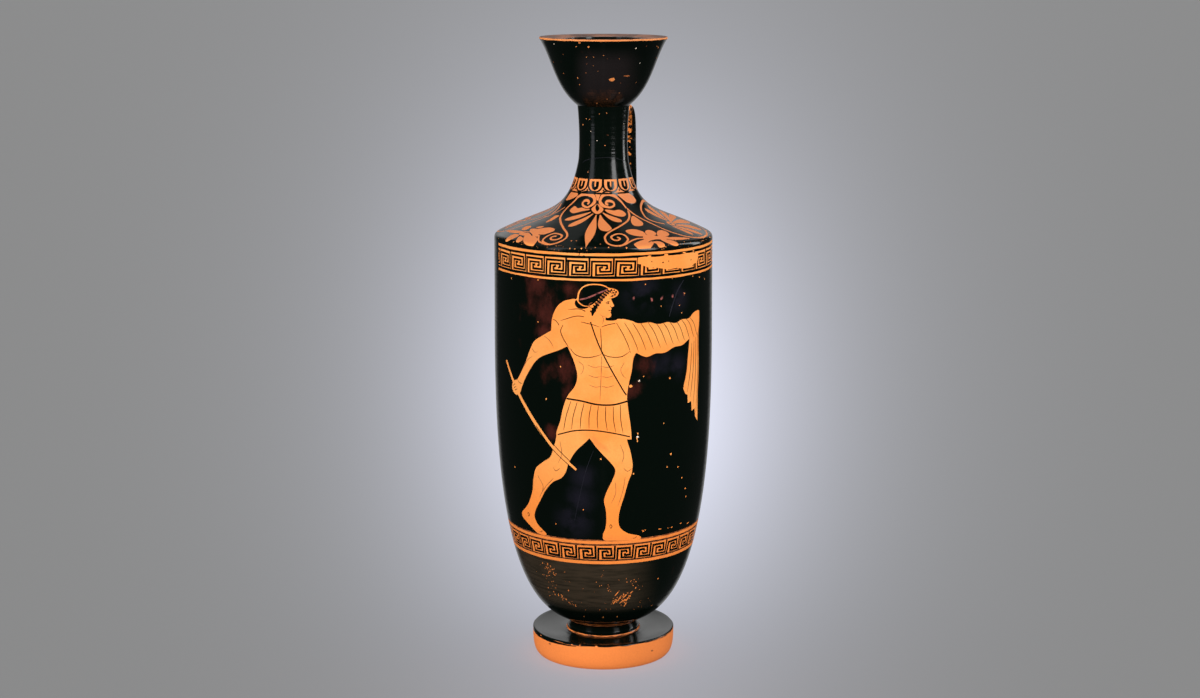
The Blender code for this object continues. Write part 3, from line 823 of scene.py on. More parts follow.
# %% Steps of a recipe
class Steps:
    """A node tree under construction: every method adds one step and returns its result."""

    def __init__(self, tree, place="Object"):
        self.tree = tree
        self.place = self.step("ShaderNodeTexCoord").outputs[place]

    def step(self, kind, **settings):
        made = self.tree.nodes.new(kind)
        for key, value in settings.items():
            setattr(made, key, value)
        return made

    def feed(self, socket, value):
        if isinstance(value, bpy.types.NodeSocket):
            self.tree.links.new(value, socket)
        else:
            socket.default_value = value

    def calc(self, operation, *values):
        made = self.step("ShaderNodeMath", operation=operation)
        for socket, value in zip(made.inputs, values):
            self.feed(socket, value)
        return made.outputs[0]

    def times(self, one, other):
        return self.calc("MULTIPLY", one, other)

    def ramp(self, value, low, high, to_low=0.0, to_high=1.0):
        """Turns a range of values softly into another."""
        made = self.step("ShaderNodeMapRange", interpolation_type="SMOOTHSTEP")
        for socket, number in zip(made.inputs, (value, low, high, to_low, to_high)):
            self.feed(socket, number)
        return made.outputs[0]

    def noise(self, scale, detail=3.0, stretch=(1, 1, 1), roughness=0.55):
        moved = self.step("ShaderNodeMapping")
        self.feed(moved.inputs["Vector"], self.place)
        moved.inputs["Scale"].default_value = stretch
        made = self.step("ShaderNodeTexNoise")
        self.feed(made.inputs["Vector"], moved.outputs[0])
        made.inputs["Scale"].default_value = scale
        made.inputs["Detail"].default_value = detail
        made.inputs["Roughness"].default_value = roughness
        return made.outputs[0]

    def along(self, axis):
        made = self.step("ShaderNodeSeparateXYZ")
        self.feed(made.inputs[0], self.place)
        return made.outputs[axis]

    def side(self):
        return self.along(0)

    def back(self):
        return self.along(1)

    def height(self):
        return self.along(2)

    def near(self, spot, reach):
        """1 at a place and 0 at this distance from it."""
        made = self.step("ShaderNodeVectorMath", operation="DISTANCE")
        self.feed(made.inputs[0], self.place)
        made.inputs[1].default_value = spot
        return self.ramp(made.outputs["Value"], reach, 0.0)

    def specks(self, scale, size):
        """Small scattered spots of uneven size."""
        cells = self.step("ShaderNodeTexVoronoi")
        self.feed(cells.inputs["Vector"], self.place)
        cells.inputs["Scale"].default_value = scale
        chance = self.step("ShaderNodeSeparateColor")
        self.feed(chance.inputs[0], cells.outputs["Color"])
        limit = self.times(chance.outputs[0], size)
        return self.ramp(self.calc("SUBTRACT", limit, cells.outputs["Distance"]), 0.0, 0.03)

    def mix(self, share, below, above):
        made = self.step("ShaderNodeMix", data_type="RGBA")
        self.feed(made.inputs["Factor"], share)
        for socket, value in ((made.inputs[6], below), (made.inputs[7], above)):
            self.feed(socket, value if isinstance(value, bpy.types.NodeSocket) else (*value, 1.0))
        return made.outputs[2]


class Recipe(Steps):
    """A material: its plain values first, then the steps that vary them."""

    def __init__(self, name, colour, roughness, shine=0.5):
        self.material = bpy.data.materials.new(name)
        self.material.use_nodes = True
        super().__init__(self.material.node_tree)
        self.shader = self.tree.nodes["Principled BSDF"]
        self.shader.inputs["Base Color"].default_value = (*colour, 1.0)
        self.shader.inputs["Roughness"].default_value = roughness
        self.shader.inputs["Specular IOR Level"].default_value = shine

    def finish(self, colour=None, roughness=None, relief=None, depth=0.0):
        if colour is not None:
            self.feed(self.shader.inputs["Base Color"], colour)
        if roughness is not None:
            self.feed(self.shader.inputs["Roughness"], roughness)
        if relief is not None:
            bump = self.step("ShaderNodeBump")
            bump.inputs["Strength"].default_value = 1.0
            bump.inputs["Distance"].default_value = depth
            self.feed(bump.inputs["Height"], relief)
            self.feed(self.shader.inputs["Normal"], bump.outputs[0])
        return self.material


def on_body(across, height):
    """A place in the picture, in millimetres, as a point of the body's wall."""
    radius = float(body_radius(height * MM))
    angle = across * MM / BODY_RADIUS
    return (radius * math.sin(angle), -radius * math.cos(angle), height * MM)


# %% [markdown]
# Bare clay is never one flat orange. It is lightest on the figure, deeper towards the foot and
# duller on the shoulder, with soft blotches and a fine grain. Smooth ramps over the height do
# the first, noises the second, so the colour changes without any edge.

# %% Bare clay
CLAY_LIGHT = (0.87, 0.325, 0.078)
CLAY_DEEP = (0.86, 0.262, 0.048)
CLAY_SHIN = (0.87, 0.238, 0.034)
CLAY_LOW = (0.80, 0.220, 0.038)
CLAY_FOOT = (0.74, 0.200, 0.040)
CLAY_SHOULDER = (0.52, 0.155, 0.048)
CLAY_STAIN = (0.50, 0.13, 0.035)

clay = Recipe("bare_clay", CLAY_LIGHT, 0.55, 0.3)
blotches = clay.ramp(clay.noise(26.0, 4.0), 0.42, 0.62)
colour = clay.mix(blotches, CLAY_LIGHT, CLAY_DEEP)
colour = clay.mix(clay.ramp(clay.height(), 0.150, 0.105, 0.0, 0.9), colour, CLAY_SHIN)
colour = clay.mix(clay.ramp(clay.height(), 0.096, 0.091, 0.0, 0.9), colour, CLAY_LOW)
colour = clay.mix(clay.ramp(clay.height(), 0.018, 0.0155, 0.0, 0.9), colour, CLAY_FOOT)
high_part = clay.times(clay.ramp(clay.height(), 0.2745, 0.278),
                       clay.ramp(clay.height(), 0.309, 0.302, 0.6, 0.9))
colour = clay.mix(high_part, colour, CLAY_SHOULDER)
stains = clay.ramp(clay.noise(55.0, 5.0), 0.62, 0.74)
colour = clay.mix(clay.times(stains, 0.35), colour, CLAY_STAIN)
grain = clay.noise(900.0, 2.0)
colour = clay.mix(clay.ramp(grain, 0.35, 0.75, 0.0, 0.16), colour, CLAY_STAIN)
bare_clay = clay.finish(colour, clay.ramp(grain, 0.3, 0.7, 0.5, 0.62), grain, 0.00006)
print("bare clay takes", len(clay.tree.nodes), "nodes")

# %% [markdown]
# The gloss is a slip of the same clay, fired until it turned glassy. It went brown where it lay
# thin and red where air reached it too soon, and the clay shows where it flaked off. A plum-brown
# painted sheen lies in the middle of the cup. Each such zone is a share between 0 and 1 that mixes
# one more colour over the black.

# %% Black gloss
GLOSS_BLACK = (0.0010, 0.0026, 0.0016)
GLOSS_BROWN = (0.0340, 0.0240, 0.0145)
GLOSS_RED = (0.0520, 0.0110, 0.0080)
GLOSS_DULL = (0.0080, 0.0075, 0.0120)
# The next colour is a painted sheen for the middle of the cup.
PAINTED_CUP_SHEEN = (0.0300, 0.0205, 0.0225)
MISFIRED = ((on_body(-38, 238), 0.027), (on_body(-43, 250), 0.018), (on_body(-38, 222), 0.016),
            (on_body(-20, 249), 0.013), (on_body(-27, 198), 0.019), (on_body(-23, 187), 0.013),
            (on_body(25, 204), 0.015), (on_body(18.5, 189), 0.013), (on_body(-34, 160), 0.010))
DULLED = ((on_body(-13, 133), 0.013), (on_body(-16, 118), 0.015), (on_body(-20, 104), 0.018),
          (on_body(50, 243), 0.014), (on_body(38, 203), 0.012), (on_body(50, 200), 0.012),
          (on_body(24, 248), 0.018))

gloss = Recipe("black_gloss", GLOSS_BLACK, 0.14, 0.34)
mottle = gloss.noise(70.0, 5.0)
streaks = gloss.noise(60.0, 4.0, (1.0, 1.0, 9.0))
red_share = 0.0
for spot, reach in MISFIRED:
    red_share = gloss.calc("MAXIMUM", red_share, gloss.near(spot, reach))
dull_share = 0.0
for spot, reach in DULLED:
    dull_share = gloss.calc("MAXIMUM", dull_share, gloss.near(spot, reach))
ragged = gloss.calc("SUBTRACT", gloss.noise(75.0, 6.0, (1.0, 1.0, 0.6), 0.65), 0.5)
red_share = gloss.ramp(gloss.calc("MULTIPLY_ADD", ragged, 2.6, red_share), 0.35, 1.35)
colour = gloss.mix(gloss.times(dull_share, gloss.ramp(mottle, 0.35, 0.6)), GLOSS_BLACK, GLOSS_DULL)
colour = gloss.mix(red_share, colour, GLOSS_RED)
height = gloss.height()
low_part = gloss.times(gloss.ramp(height, 0.080, 0.073), gloss.ramp(gloss.side(), 0.038, 0.008))
low_part = gloss.times(low_part, gloss.ramp(height, 0.036, 0.046))
low_part = gloss.times(low_part, gloss.ramp(streaks, 0.3, 0.6, 0.5, 1.0))
colour = gloss.mix(low_part, colour, GLOSS_BROWN)
# Painted sheen: a plum-brown glow over the middle of the cup, standing in for a reflection.
painted_cup_sheen = gloss.times(gloss.ramp(height, 0.358, 0.368), gloss.ramp(height, 0.397, 0.384))
painted_cup_sheen = gloss.times(painted_cup_sheen, gloss.ramp(gloss.side(), -0.020, -0.008))
painted_cup_sheen = gloss.times(painted_cup_sheen, gloss.ramp(gloss.side(), 0.026, 0.010, 0.0, 0.35))
colour = gloss.mix(painted_cup_sheen, colour, PAINTED_CUP_SHEEN)
worn = gloss.ramp(gloss.noise(20.0, 3.0), 0.52, 0.64)
worn_edge = gloss.times(gloss.ramp(height, 0.2730, 0.2755), gloss.ramp(height, 0.2815, 0.2775))
spots = gloss.times(gloss.specks(700.0, 0.30), gloss.times(worn_edge, worn))
strap = gloss.times(gloss.ramp(gloss.back(), 0.0345, 0.0325), gloss.ramp(gloss.back(), 0.0175, 0.0185))
strap = gloss.times(strap, gloss.ramp(height, 0.312, 0.320))
strap = gloss.times(strap, gloss.ramp(height, 0.3570, 0.3550))
bare_limit = gloss.ramp(height, 0.333, 0.338, 0.55, 0.47)
crackle = gloss.calc("SUBTRACT", gloss.noise(480.0, 4.0), bare_limit)
strap = gloss.times(strap, gloss.ramp(crackle, 0.0, 0.03))
strap = gloss.times(strap, gloss.ramp(gloss.side(), 0.0188, 0.0176))
spots = gloss.calc("MAXIMUM", spots, strap)
colour = gloss.mix(spots, colour, CLAY_DEEP)
ridges = gloss.noise(45.0, 2.0, (0.25, 0.25, 14.0))
relief = gloss.calc("SUBTRACT", ridges, gloss.times(spots, 0.5))
black_gloss = gloss.finish(colour, gloss.calc("MAXIMUM", gloss.ramp(streaks, 0.3, 0.7, 0.11, 0.19),
                                              gloss.times(spots, 0.6)), relief, 0.00010)
print("black gloss takes", len(gloss.tree.nodes), "nodes")

# %% [markdown]
# The other finishes are thinner slips and paints. Two colours and one noise are enough for each.


# %% Thin slip, brown lines and red paint
def two_tone(name, colour, roughness, shine, scale, limits, dark, light):
    """A finish of two colours in fine blotches."""
    recipe = Recipe(name, colour, roughness, shine)
    return recipe.finish(recipe.mix(recipe.ramp(recipe.noise(scale), *limits), dark, light))


thin_wash = two_tone("thin_wash", (0.20, 0.052, 0.016), 0.4, 0.4, 300.0, (0.35, 0.65),
                     (0.13, 0.035, 0.012), (0.42, 0.125, 0.035))
red_paint = two_tone("red_paint", (0.10, 0.02, 0.02), 0.6, 0.3, 500.0, (0.40, 0.55),
                     (0.045, 0.014, 0.014), (0.26, 0.070, 0.060))
lip = Recipe("thin_gloss", (0.16, 0.060, 0.030), 0.5, 0.18)
lip_colour = lip.mix(lip.ramp(lip.noise(60.0, 4.0), 0.35, 0.65), (0.07, 0.024, 0.012), (0.26, 0.100, 0.050))
thin_gloss = lip.finish(lip_colour, None, lip.noise(45.0, 2.0), 0.0002)

# %% Pale chips and dull scratches
pale_chip = two_tone("pale_chip", (0.75, 0.62, 0.50), 0.7, 0.3, 700.0, (0.4, 0.6),
                     (0.60, 0.44, 0.32), (0.80, 0.68, 0.56))
scratched = Recipe("scratched_gloss", (0.012, 0.012, 0.017), 0.5, 0.3).finish()


# %% The body gets its finishes
FINISHES = (black_gloss, bare_clay, thin_wash, red_paint, thin_gloss, pale_chip, scratched)


def dress(piece):
    """Gives a piece every finish, in the order of their numbers, and puts it in the solid's place."""
    for finish in FINISHES:
        piece.data.materials.append(finish)
    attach(piece, "root")
    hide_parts("flask")


body = painted_wall("body", body_sheet, body_rows, hidden_body_rings(), GLOSS, CLAY)
dress(body)

# %% [markdown]
# ## The shoulder and the neck
#
# The shoulder is painted as it is seen from above, which keeps leaves and tendrils in shape. An
# egg border runs round the foot of the neck. Shoulder and neck share one sheet, because the real
# curve runs on from one to the other without an edge.

# %% The shoulder and neck
shoulder_sheet = Sheet(np.vstack([shoulder_outline(60, 400), neck_outline(120)[1:]]), SHOULDER_RADIUS)
FALLING = shoulder_sheet.outline[:, 1] <= NECK_FOOT_Z
FINE_ROWS_END = 6 * MM
shoulder_rows = np.concatenate([np.linspace(0, FINE_ROWS_END, 12),
                                np.linspace(FINE_ROWS_END, shoulder_sheet.up[-1], 52)[1:]])


def paint_shoulder(finish, outline):
    """Paints on the shoulder as seen from above: millimetres to the right and to the front."""
    outline = np.array(outline, dtype=float) * MM
    azimuth = np.unwrap(np.arctan2(outline[:, 0], outline[:, 1]))
    radius = np.minimum(np.hypot(outline[:, 0], outline[:, 1]), SHOULDER_RADIUS - 0.25 * MM)
    slope = shoulder_sheet.outline[FALLING]
    up = np.interp(-radius, -slope[:, 0], shoulder_sheet.up[FALLING])
    shoulder_sheet.paint(finish, np.column_stack([azimuth * SHOULDER_RADIUS, up]))


# %% Egg border at the foot of the neck
COLLAR_RADIUS = 20.0 * MM
COLLAR_FOOT_Z = 304.4 * MM
COLLAR_TOP_Z = 312.4 * MM
COLLAR_LOW = shoulder_sheet.up_at_height(COLLAR_FOOT_Z)
COLLAR_HIGH = shoulder_sheet.up_at_height(COLLAR_TOP_Z)
EGG_PITCH = math.radians(29.0)
FIRST_EGG = math.radians(-15.4)


def paint_collar(finish, outline, azimuth):
    """Paints on the collar: millimetres aside of a place round the neck, and up from its lower edge."""
    outline = np.array(outline, dtype=float) * MM
    across = (azimuth + outline[:, 0] / COLLAR_RADIUS) * SHOULDER_RADIUS
    shoulder_sheet.paint(finish, np.column_stack([across, COLLAR_LOW + outline[:, 1]]))


def full_ring(sheet, finish, low, high, unevenness=0.1):
    """A zone painted all the way round, between two ways up the outline."""
    half = math.pi * sheet.around / MM
    x = np.linspace(-half, half, 61)
    edges = []
    for level in (high, low):
        y = level / MM + np.array([hand.uniform(-unevenness, unevenness) for _ in x])
        y[-1] = y[0]
        edges.append(curve(np.column_stack([x, y]), spacing=2.0))
    sheet.paint(finish, np.vstack([edges[0], edges[1][::-1]]) * MM)


full_ring(shoulder_sheet, CLAY, COLLAR_LOW, COLLAR_HIGH, 0.12)
for number in range(-5, 7):
    azimuth = FIRST_EGG + number * EGG_PITCH
    high = (COLLAR_HIGH - COLLAR_LOW) / MM + 0.3
    shell = wobble([(-4.9, high), (-4.75, 4.9), (-3.9, 2.5), (-2.1, 0.9), (0, 0.4), (2.1, 0.9), (3.9, 2.5),
                    (4.75, 4.9), (4.9, high)], 0.12)
    paint_collar(GLOSS, widened(curve(shell, spacing=0.6), 1.1), azimuth)
    tongue = wobble([(-1.45, 7.3), (-1.45, 4.6), (-1.1, 3.2), (0, 2.5), (1.1, 3.2), (1.45, 4.6),
                     (1.45, 7.3)], 0.12)
    paint_collar(GLOSS, widened(curve(tongue, spacing=0.5), 1.95), azimuth)
    dot = [(5.4 + 0.62 * math.cos(step), 1.5 + 0.6 * math.sin(step)) for step in np.linspace(0, 5.6, 9)]
    paint_collar(GLOSS, dot, azimuth)

# %% [markdown]
# A palmette hangs in the middle, upside down, under two spirals. Its leaves are drops with a
# narrow root. The painter drew tendrils as bare lines and left a black edge on both sides, so a
# tendril here is a black stroke with a thinner bare one on top.

# %% Palmette and tendrils
VINE = 1.25


def vine(points, width=VINE, thin_start=1.0, thin_end=1.0):
    """A bare tendril with a black edge on both sides."""
    path = curve(points, spacing=0.7)
    paint_shoulder(GLOSS, widened(path, width + 1.0, thin_start, thin_end))
    paint_shoulder(CLAY, widened(path, width, thin_start, thin_end))


def leaf(base, tip, breadth, bend=0.0, fullness=0.66, root=0.16, point=0.0):
    paint_shoulder(CLAY, petal(base, tip, breadth, bend, fullness, root, point))


def drop(points):
    paint_shoulder(CLAY, curve(points, closed=True, spacing=0.8))


def stalk(points):
    paint_shoulder(CLAY, widened(curve(points, spacing=0.8), 1.1))


drop([(-8.5, 28.0), (-13.0, 25.0), (-16.0, 24.0), (-17.5, 21.5), (-19.0, 21.0), (-21.0, 23.0), (-19.0, 27.0),
      (-13.5, 27.8)])
leaf((-7.8, 30.2), (-24.2, 32.6), 4.3, -0.9, 0.72)
leaf((-6.4, 31.8), (-21.8, 42.3), 4.5, -0.8, 0.74)
leaf((-4.5, 33.2), (-10.9, 68.2), 6.0, 0.0, 0.55, 0.10, 0.9)
leaf((-2.0, 33.4), (2.6, 51.6), 7.4, 0.9, 0.82, 0.10)
leaf((-0.4, 31.6), (11.4, 39.4), 4.5, 0.9, 0.76)
drop([(1.0, 29.2), (6.5, 29.2), (9.0, 28.0), (12.0, 28.0), (14.0, 30.5), (12.0, 33.5), (7.5, 33.5),
      (3.0, 31.5)])
HEART = [(-7.5, 28.0), (-6.0, 31.0), (-4.0, 32.5), (-1.5, 31.5), (0.0, 29.0), (-1.5, 27.0), (-4.0, 25.5),
         (-6.0, 26.5)]
area(GLOSS, [(-4 + (x + 4) * 1.2, 29 + (y - 29) * 1.2) for x, y in HEART], 0.6, paint_shoulder)
area(CLAY, HEART, 0.6, paint_shoulder)
area(GLOSS, [(-4.0, 25.6), (-5.0, 27.5), (-4.0, 30.2), (-2.5, 28.2)], 0.5, paint_shoulder)
drop([(-6.0, 21.0), (-1.5, 21.5), (-3.5, 24.0)])
SPIRALS = ([(-23.5, 18.5), (-19, 17), (-15.5, 17), (-12, 18.5), (-8.5, 20.5), (-6, 22), (-5.5, 24),
            (-7.5, 25.5), (-10, 26), (-12.5, 24), (-13, 22), (-11.5, 21.5), (-9.5, 22.5), (-9, 23.5),
            (-10, 24)],
           [(15, 25.5), (11.5, 22.5), (8, 21.5), (4, 21.5), (0.5, 22), (-1.5, 23), (-2, 25), (0.5, 27),
            (4, 27.5), (6.5, 26), (6.5, 24.5), (4.5, 24), (2, 24.5), (1.5, 25.5), (3, 26)])
for swirl in SPIRALS:
    vine(swirl, 1.15, 1.0, 1.3)
    paint_shoulder(CLAY, widened(curve(swirl[4:9], spacing=0.7), 2.0, 0.5, 0.5, 0.5))
vine([(-16.1, 16.7), (-23, 18.9), (-26.5, 25.5), (-26.7, 33), (-24.8, 42.6), (-22.3, 50.8),
      (-23.1, 55.6), (-27.1, 58.4), (-32.6, 58.8), (-36.7, 54.3), (-37.1, 51.5), (-34.3, 48.4),
      (-30.2, 47.4), (-25.8, 51), (-26.2, 54.2), (-28.9, 55.1), (-31.8, 54), (-32.3, 51.7),
      (-30.5, 50.7), (-28.7, 51.3)])
vine([(15.1, 24.5), (16.1, 31.3), (14.6, 38), (9.6, 45.6), (3.6, 52.5), (0.9, 57.9), (2.2, 63.9), (6.5, 66.4),
      (11.4, 65.3), (14.2, 61.5), (14.8, 58.2), (12.5, 54.5), (8.5, 54.0), (4.8, 57.3), (6.0, 60.5),
      (8.8, 60.8), (10.0, 58.8), (8.2, 57.5)])
drop([(-20.0, 8.5), (-16.0, 15.5), (-19.0, 14.5), (-22.5, 11.5), (-23.5, 8.5)])
drop([(8.5, 20.0), (12.0, 18.0), (16.0, 15.0), (19.5, 13.5), (20.5, 15.0), (19.0, 18.0), (15.5, 20.5),
      (11.5, 20.5)])
drop([(18.0, 30.5), (21.5, 32.5), (24.5, 36.5), (23.5, 40.5), (19.0, 42.0), (17.0, 37.5)])
drop([(-27.5, 24.5), (-30.0, 26.5), (-33.0, 28.5), (-36.0, 28.0), (-33.5, 25.0), (-30.0, 22.0)])
stalk([(-26.5, 8), (-29, 13), (-33.5, 17.5), (-37.5, 16.5)])

# %% [markdown]
# Two flowers hang from the tendrils. Each petal is one bare shape, and the black that is left
# between them draws the flower.

# %% Flower on the right
stalk([(9.5, 66.5), (13, 64.5), (17, 60), (20.5, 57), (25, 55)])
drop([(13.5, 50.0), (16.0, 47.5), (19.5, 46.5), (24.0, 47.5), (26.0, 50.5), (24.5, 53.0),
      (20.5, 54.0), (16.0, 53.0)])
drop([(25.5, 47.5), (27.0, 44.5), (30.0, 44.0), (32.5, 46.5), (30.5, 50.0), (27.0, 50.5)])
drop([(33.0, 44.0), (35.0, 40.5), (38.5, 40.0), (40.5, 43.0), (38.0, 47.0), (33.5, 49.0)])
drop([(24.5, 51.5), (28.5, 50.0), (33.5, 49.0), (39.5, 46.5), (40.5, 47.5), (37.5, 51.0), (32.0, 53.5),
      (27.0, 57.5), (24.5, 56.5)])
drop([(39.5, 47.5), (45.5, 43.0), (53.5, 38.0), (47.5, 45.0), (40.0, 49.5)])
drop([(35.0, 52.0), (39.5, 50.0), (43.5, 49.5), (46.0, 51.0), (44.5, 53.0), (41.0, 54.5), (37.0, 53.5)])
drop([(28.5, 58.0), (33.5, 55.0), (36.5, 55.5), (37.5, 57.5), (36.5, 59.0), (34.5, 60.5),
      (33.0, 59.5), (32.0, 58.0)])
drop([(18.5, 63.5), (21.0, 60.0), (26.0, 56.0), (29.5, 57.0), (30.5, 59.0), (28.5, 63.0),
      (25.0, 64.5), (21.5, 66.0)])
line([(27.5, 58.5), (29.5, 56.0), (32.5, 54.0), (36.0, 54.0), (38.0, 57.0)], 0.5, GLOSS, 1, 1, paint_shoulder)

# %% Flower on the left
stalk([(-26.5, 58.5), (-31, 59), (-34.5, 58), (-37.5, 55), (-39.5, 52), (-40, 48), (-39.5, 45)])
drop([(-61.5, 13.0), (-57.5, 18.5), (-53.5, 25.0), (-50.0, 31.0), (-53.5, 29.5), (-58.0, 23.0)])
drop([(-61.0, 32.5), (-59.5, 35.0), (-57.0, 36.0), (-53.5, 35.5), (-52.5, 33.5), (-55.0, 29.5),
      (-58.0, 28.5)])
drop([(-54.0, 41.5), (-52.5, 44.0), (-50.5, 44.0), (-49.5, 42.0), (-51.0, 37.5), (-52.5, 36.5)])
drop([(-49.5, 42.5), (-48.5, 48.5), (-45.0, 52.5), (-42.5, 54.0), (-40.5, 50.0), (-41.5, 45.5),
      (-44.5, 39.5), (-48.0, 37.0)])
drop([(-52.5, 32.5), (-50.5, 30.5), (-46.5, 34.0), (-42.5, 39.5), (-39.5, 44.5), (-41.0, 45.5),
      (-45.0, 39.5), (-49.0, 38.0)])
drop([(-45.5, 36.0), (-45.0, 31.0), (-41.0, 34.5), (-37.0, 36.0), (-33.0, 38.0), (-30.0, 42.0),
      (-31.5, 44.5), (-37.0, 45.0), (-41.5, 41.5)])
drop([(-42.0, 32.0), (-40.0, 31.5), (-37.0, 33.5), (-39.0, 34.5)])
drop([(-51.0, 26.5), (-49.5, 23.0), (-45.5, 25.0), (-45.5, 28.0), (-48.5, 29.5)])
line([(-49.5, 33.5), (-47.5, 34.5), (-45.5, 37.0), (-44.0, 42.0)], 0.6, GLOSS, 1, 1, paint_shoulder)

# %% [markdown]
# A smaller palmette lies in an oval tendril at each side. Both are one drawing, mirrored across
# the middle palmette's line, and the left one is slimmer, as on the flask.

# %% Palmettes lying in ovals at both sides
MIRROR = math.radians(-12.5)


def mirrored(points):
    """The same place on the other side of the palmette's middle line."""
    axis = np.array([math.sin(MIRROR), math.cos(MIRROR)])
    points = np.array(points, dtype=float)
    return 2 * (points @ axis)[:, None] * axis - points


OVAL = [(15.0, 25.1), (21.5, 29.7), (29.4, 34.0), (38.1, 37.8), (45.3, 38.4), (52.7, 36.3), (60.3, 29.4),
        (64.4, 19.3), (65.2, 10.3), (64, 3.3), (58, -6), (48, -9), (36, -6), (28, 0), (25.3, 6.3),
        (23.5, 16.7), (24.5, 23.4), (27.3, 28.6), (32.4, 30.3), (38, 28.8)]
OVAL_LEAVES = (((39.6, 21.5), (25.8, 15.8), 4.4), ((40.0, 20.0), (27.9, 7.0), 4.6),
               ((41.4, 19.0), (36.5, 0.5), 4.6), ((43.0, 28.4), (56.0, 29.2), 3.6),
               ((44.2, 26.8), (62.0, 20.6), 4.6), ((44.2, 25.0), (61.8, 7.8), 5.4),
               ((43.0, 23.4), (54.4, -1.6), 5.8), ((42.0, 22.0), (44.6, -4.0), 4.8))
OVAL_HEART = (42.0, 24.4)
for side, slim in ((np.array, 0.95), (mirrored, 0.6)):
    vine(side(OVAL), VINE * slim)
    for base, tip, breadth in OVAL_LEAVES:
        ends = side([base, tip])
        leaf(ends[0], ends[1], breadth * slim, 0.0, 0.74, 0.24)
    for reach, finish in ((3.3, GLOSS), (2.7, CLAY), (1.1, GLOSS)):
        ring = [(OVAL_HEART[0] + reach * math.cos(step), OVAL_HEART[1] + reach * math.sin(step))
                for step in np.linspace(0, math.tau, 11)[:-1]]
        area(finish, side(ring), 0.6, paint_shoulder)
full_ring(shoulder_sheet, GLOSS, COLLAR_LOW - 1.1 * MM, COLLAR_LOW, 0.08)
print("the shoulder has", len(shoulder_sheet.strokes), "strokes")

# %% Chips on the shoulder and the neck
SHOULDER_CHIPS = ((-19.5, 59.5, 0.9), (-16.5, 60.0, 0.8), (3.0, 68.0, 1.0), (14.0, 67.0, 1.1),
                  (-20.5, 66.0, 0.8), (-17.5, 67.0, 0.9), (-13.4, 67.5, 1.0), (-5.0, 68.0, 0.9),
                  (-2.0, 65.0, 0.7), (-66.0, 21.5, 0.9), (-50.5, 47.5, 0.8), (-41.0, 56.0, 0.8),
                  (-55.5, 40.5, 0.8), (67.0, 17.5, 1.0), (64.5, 25.5, 0.9), (30.5, 62.5, 0.9),
                  (38.0, 58.0, 1.0), (62.0, 31.0, 0.9))
for aside, front, size in SHOULDER_CHIPS:
    flake(aside, front, size, paint_shoulder)
NECK_CHIPS = ((-42.8, 349.8, 0.7, CLAY), (-33.7, 349.4, 0.6, CLAY), (-55.0, 345.6, 0.8, CLAY),
              (-30.7, 342.0, 0.6, PALE), (-14.8, 336.3, 0.6, PALE), (3.5, 333.3, 0.7, CLAY),
              (-35.7, 333.4, 0.5, CLAY), (53.5, 346.4, 0.6, PALE), (10.2, 339.7, 0.5, WASH),
              (-34.3, 316.6, 0.6, CLAY), (-8.9, 353.0, 0.6, CLAY), (7.2, 353.5, 0.6, CLAY))
chips(shoulder_sheet, NECK_CHIPS)
print(len(SHOULDER_CHIPS), "chips on the shoulder and", len(NECK_CHIPS), "on the neck")

# %% A fine scratch round the neck, and both walls
SCRATCH = [(-56, 321.8), (-47, 323.5), (-23, 325.3), (12, 325.9), (32, 325.0), (60, 322.8)]
SCRATCH_HALF = 0.13 * MM
scratch = np.array([(math.radians(azimuth) * SHOULDER_RADIUS, shoulder_sheet.up_at_height(z * MM))
                    for azimuth, z in SCRATCH])
shoulder_sheet.paint(SCRATCHED, np.vstack([scratch + (0, SCRATCH_HALF), scratch[::-1] - (0, SCRATCH_HALF)]))

inside_shoulder = inward(shoulder_outline(8, 40), WALL)
inside_shoulder = inside_shoulder[inside_shoulder[:, 0] > NECK_BORE_RADIUS + WALL / 4][::-1]
inside_shoulder[-1] = (SHOULDER_RADIUS - WALL, BODY_TOP_Z)
neck_rings = [(NECK_BORE_RADIUS, MOUTH_FOOT_Z), (NECK_BORE_RADIUS, NECK_FOOT_Z)]
shoulder = painted_wall("shoulder_and_neck", shoulder_sheet, shoulder_rows,
                        neck_rings + [tuple(p) for p in inside_shoulder], GLOSS, CLAY)
dress(shoulder)


# %% [markdown]
# ## The mouth
#
# The cup spreads from the neck and ends in a wide flat lip. Its outer edge was left bare and
# shows as a thin orange line; the lip's top got a thinner slip that fired to a brownish tan.

# %% The mouth
def mouth_outline():
    """The cup's outside from the neck, then its band and its wide lip."""
    lip_foot = (MOUTH_RADIUS - LIP_EDGE, RIM_Z - LIP_BAND_HEIGHT)
    width = lip_foot[0] - NECK_TOP_RADIUS
    height = lip_foot[1] - MOUTH_FOOT_Z
    cup = bezier((NECK_TOP_RADIUS, MOUTH_FOOT_Z),
                 (NECK_TOP_RADIUS + width * 0.60, MOUTH_FOOT_Z + height * 0.265),
                 (NECK_TOP_RADIUS + width * 0.67, MOUTH_FOOT_Z + height * 0.69), lip_foot, 80)
    edge = bezier(lip_foot, (MOUTH_RADIUS, lip_foot[1] + LIP_EDGE * 0.4),
                  (MOUTH_RADIUS, lip_foot[1] + LIP_EDGE), (MOUTH_RADIUS, RIM_Z - LIP_BAND_HEIGHT / 2), 5)
    turn = bezier(edge[-1], (MOUTH_RADIUS, RIM_Z - LIP_EDGE * 0.2), (MOUTH_RADIUS - LIP_EDGE * 0.2, RIM_Z),
                  (MOUTH_RADIUS - LIP_EDGE * 1.6, RIM_Z), 6)
    top = bezier(turn[-1], (MOUTH_RADIUS - LIP_WIDTH * 0.4, RIM_Z),
                 (MOUTH_RADIUS - LIP_WIDTH * 0.7, RIM_Z - LIP_FALL * 0.4),
                 (MOUTH_RADIUS - LIP_WIDTH, RIM_Z - LIP_FALL), 24)
    return np.vstack([cup, edge[1:], turn[1:], top[1:]])


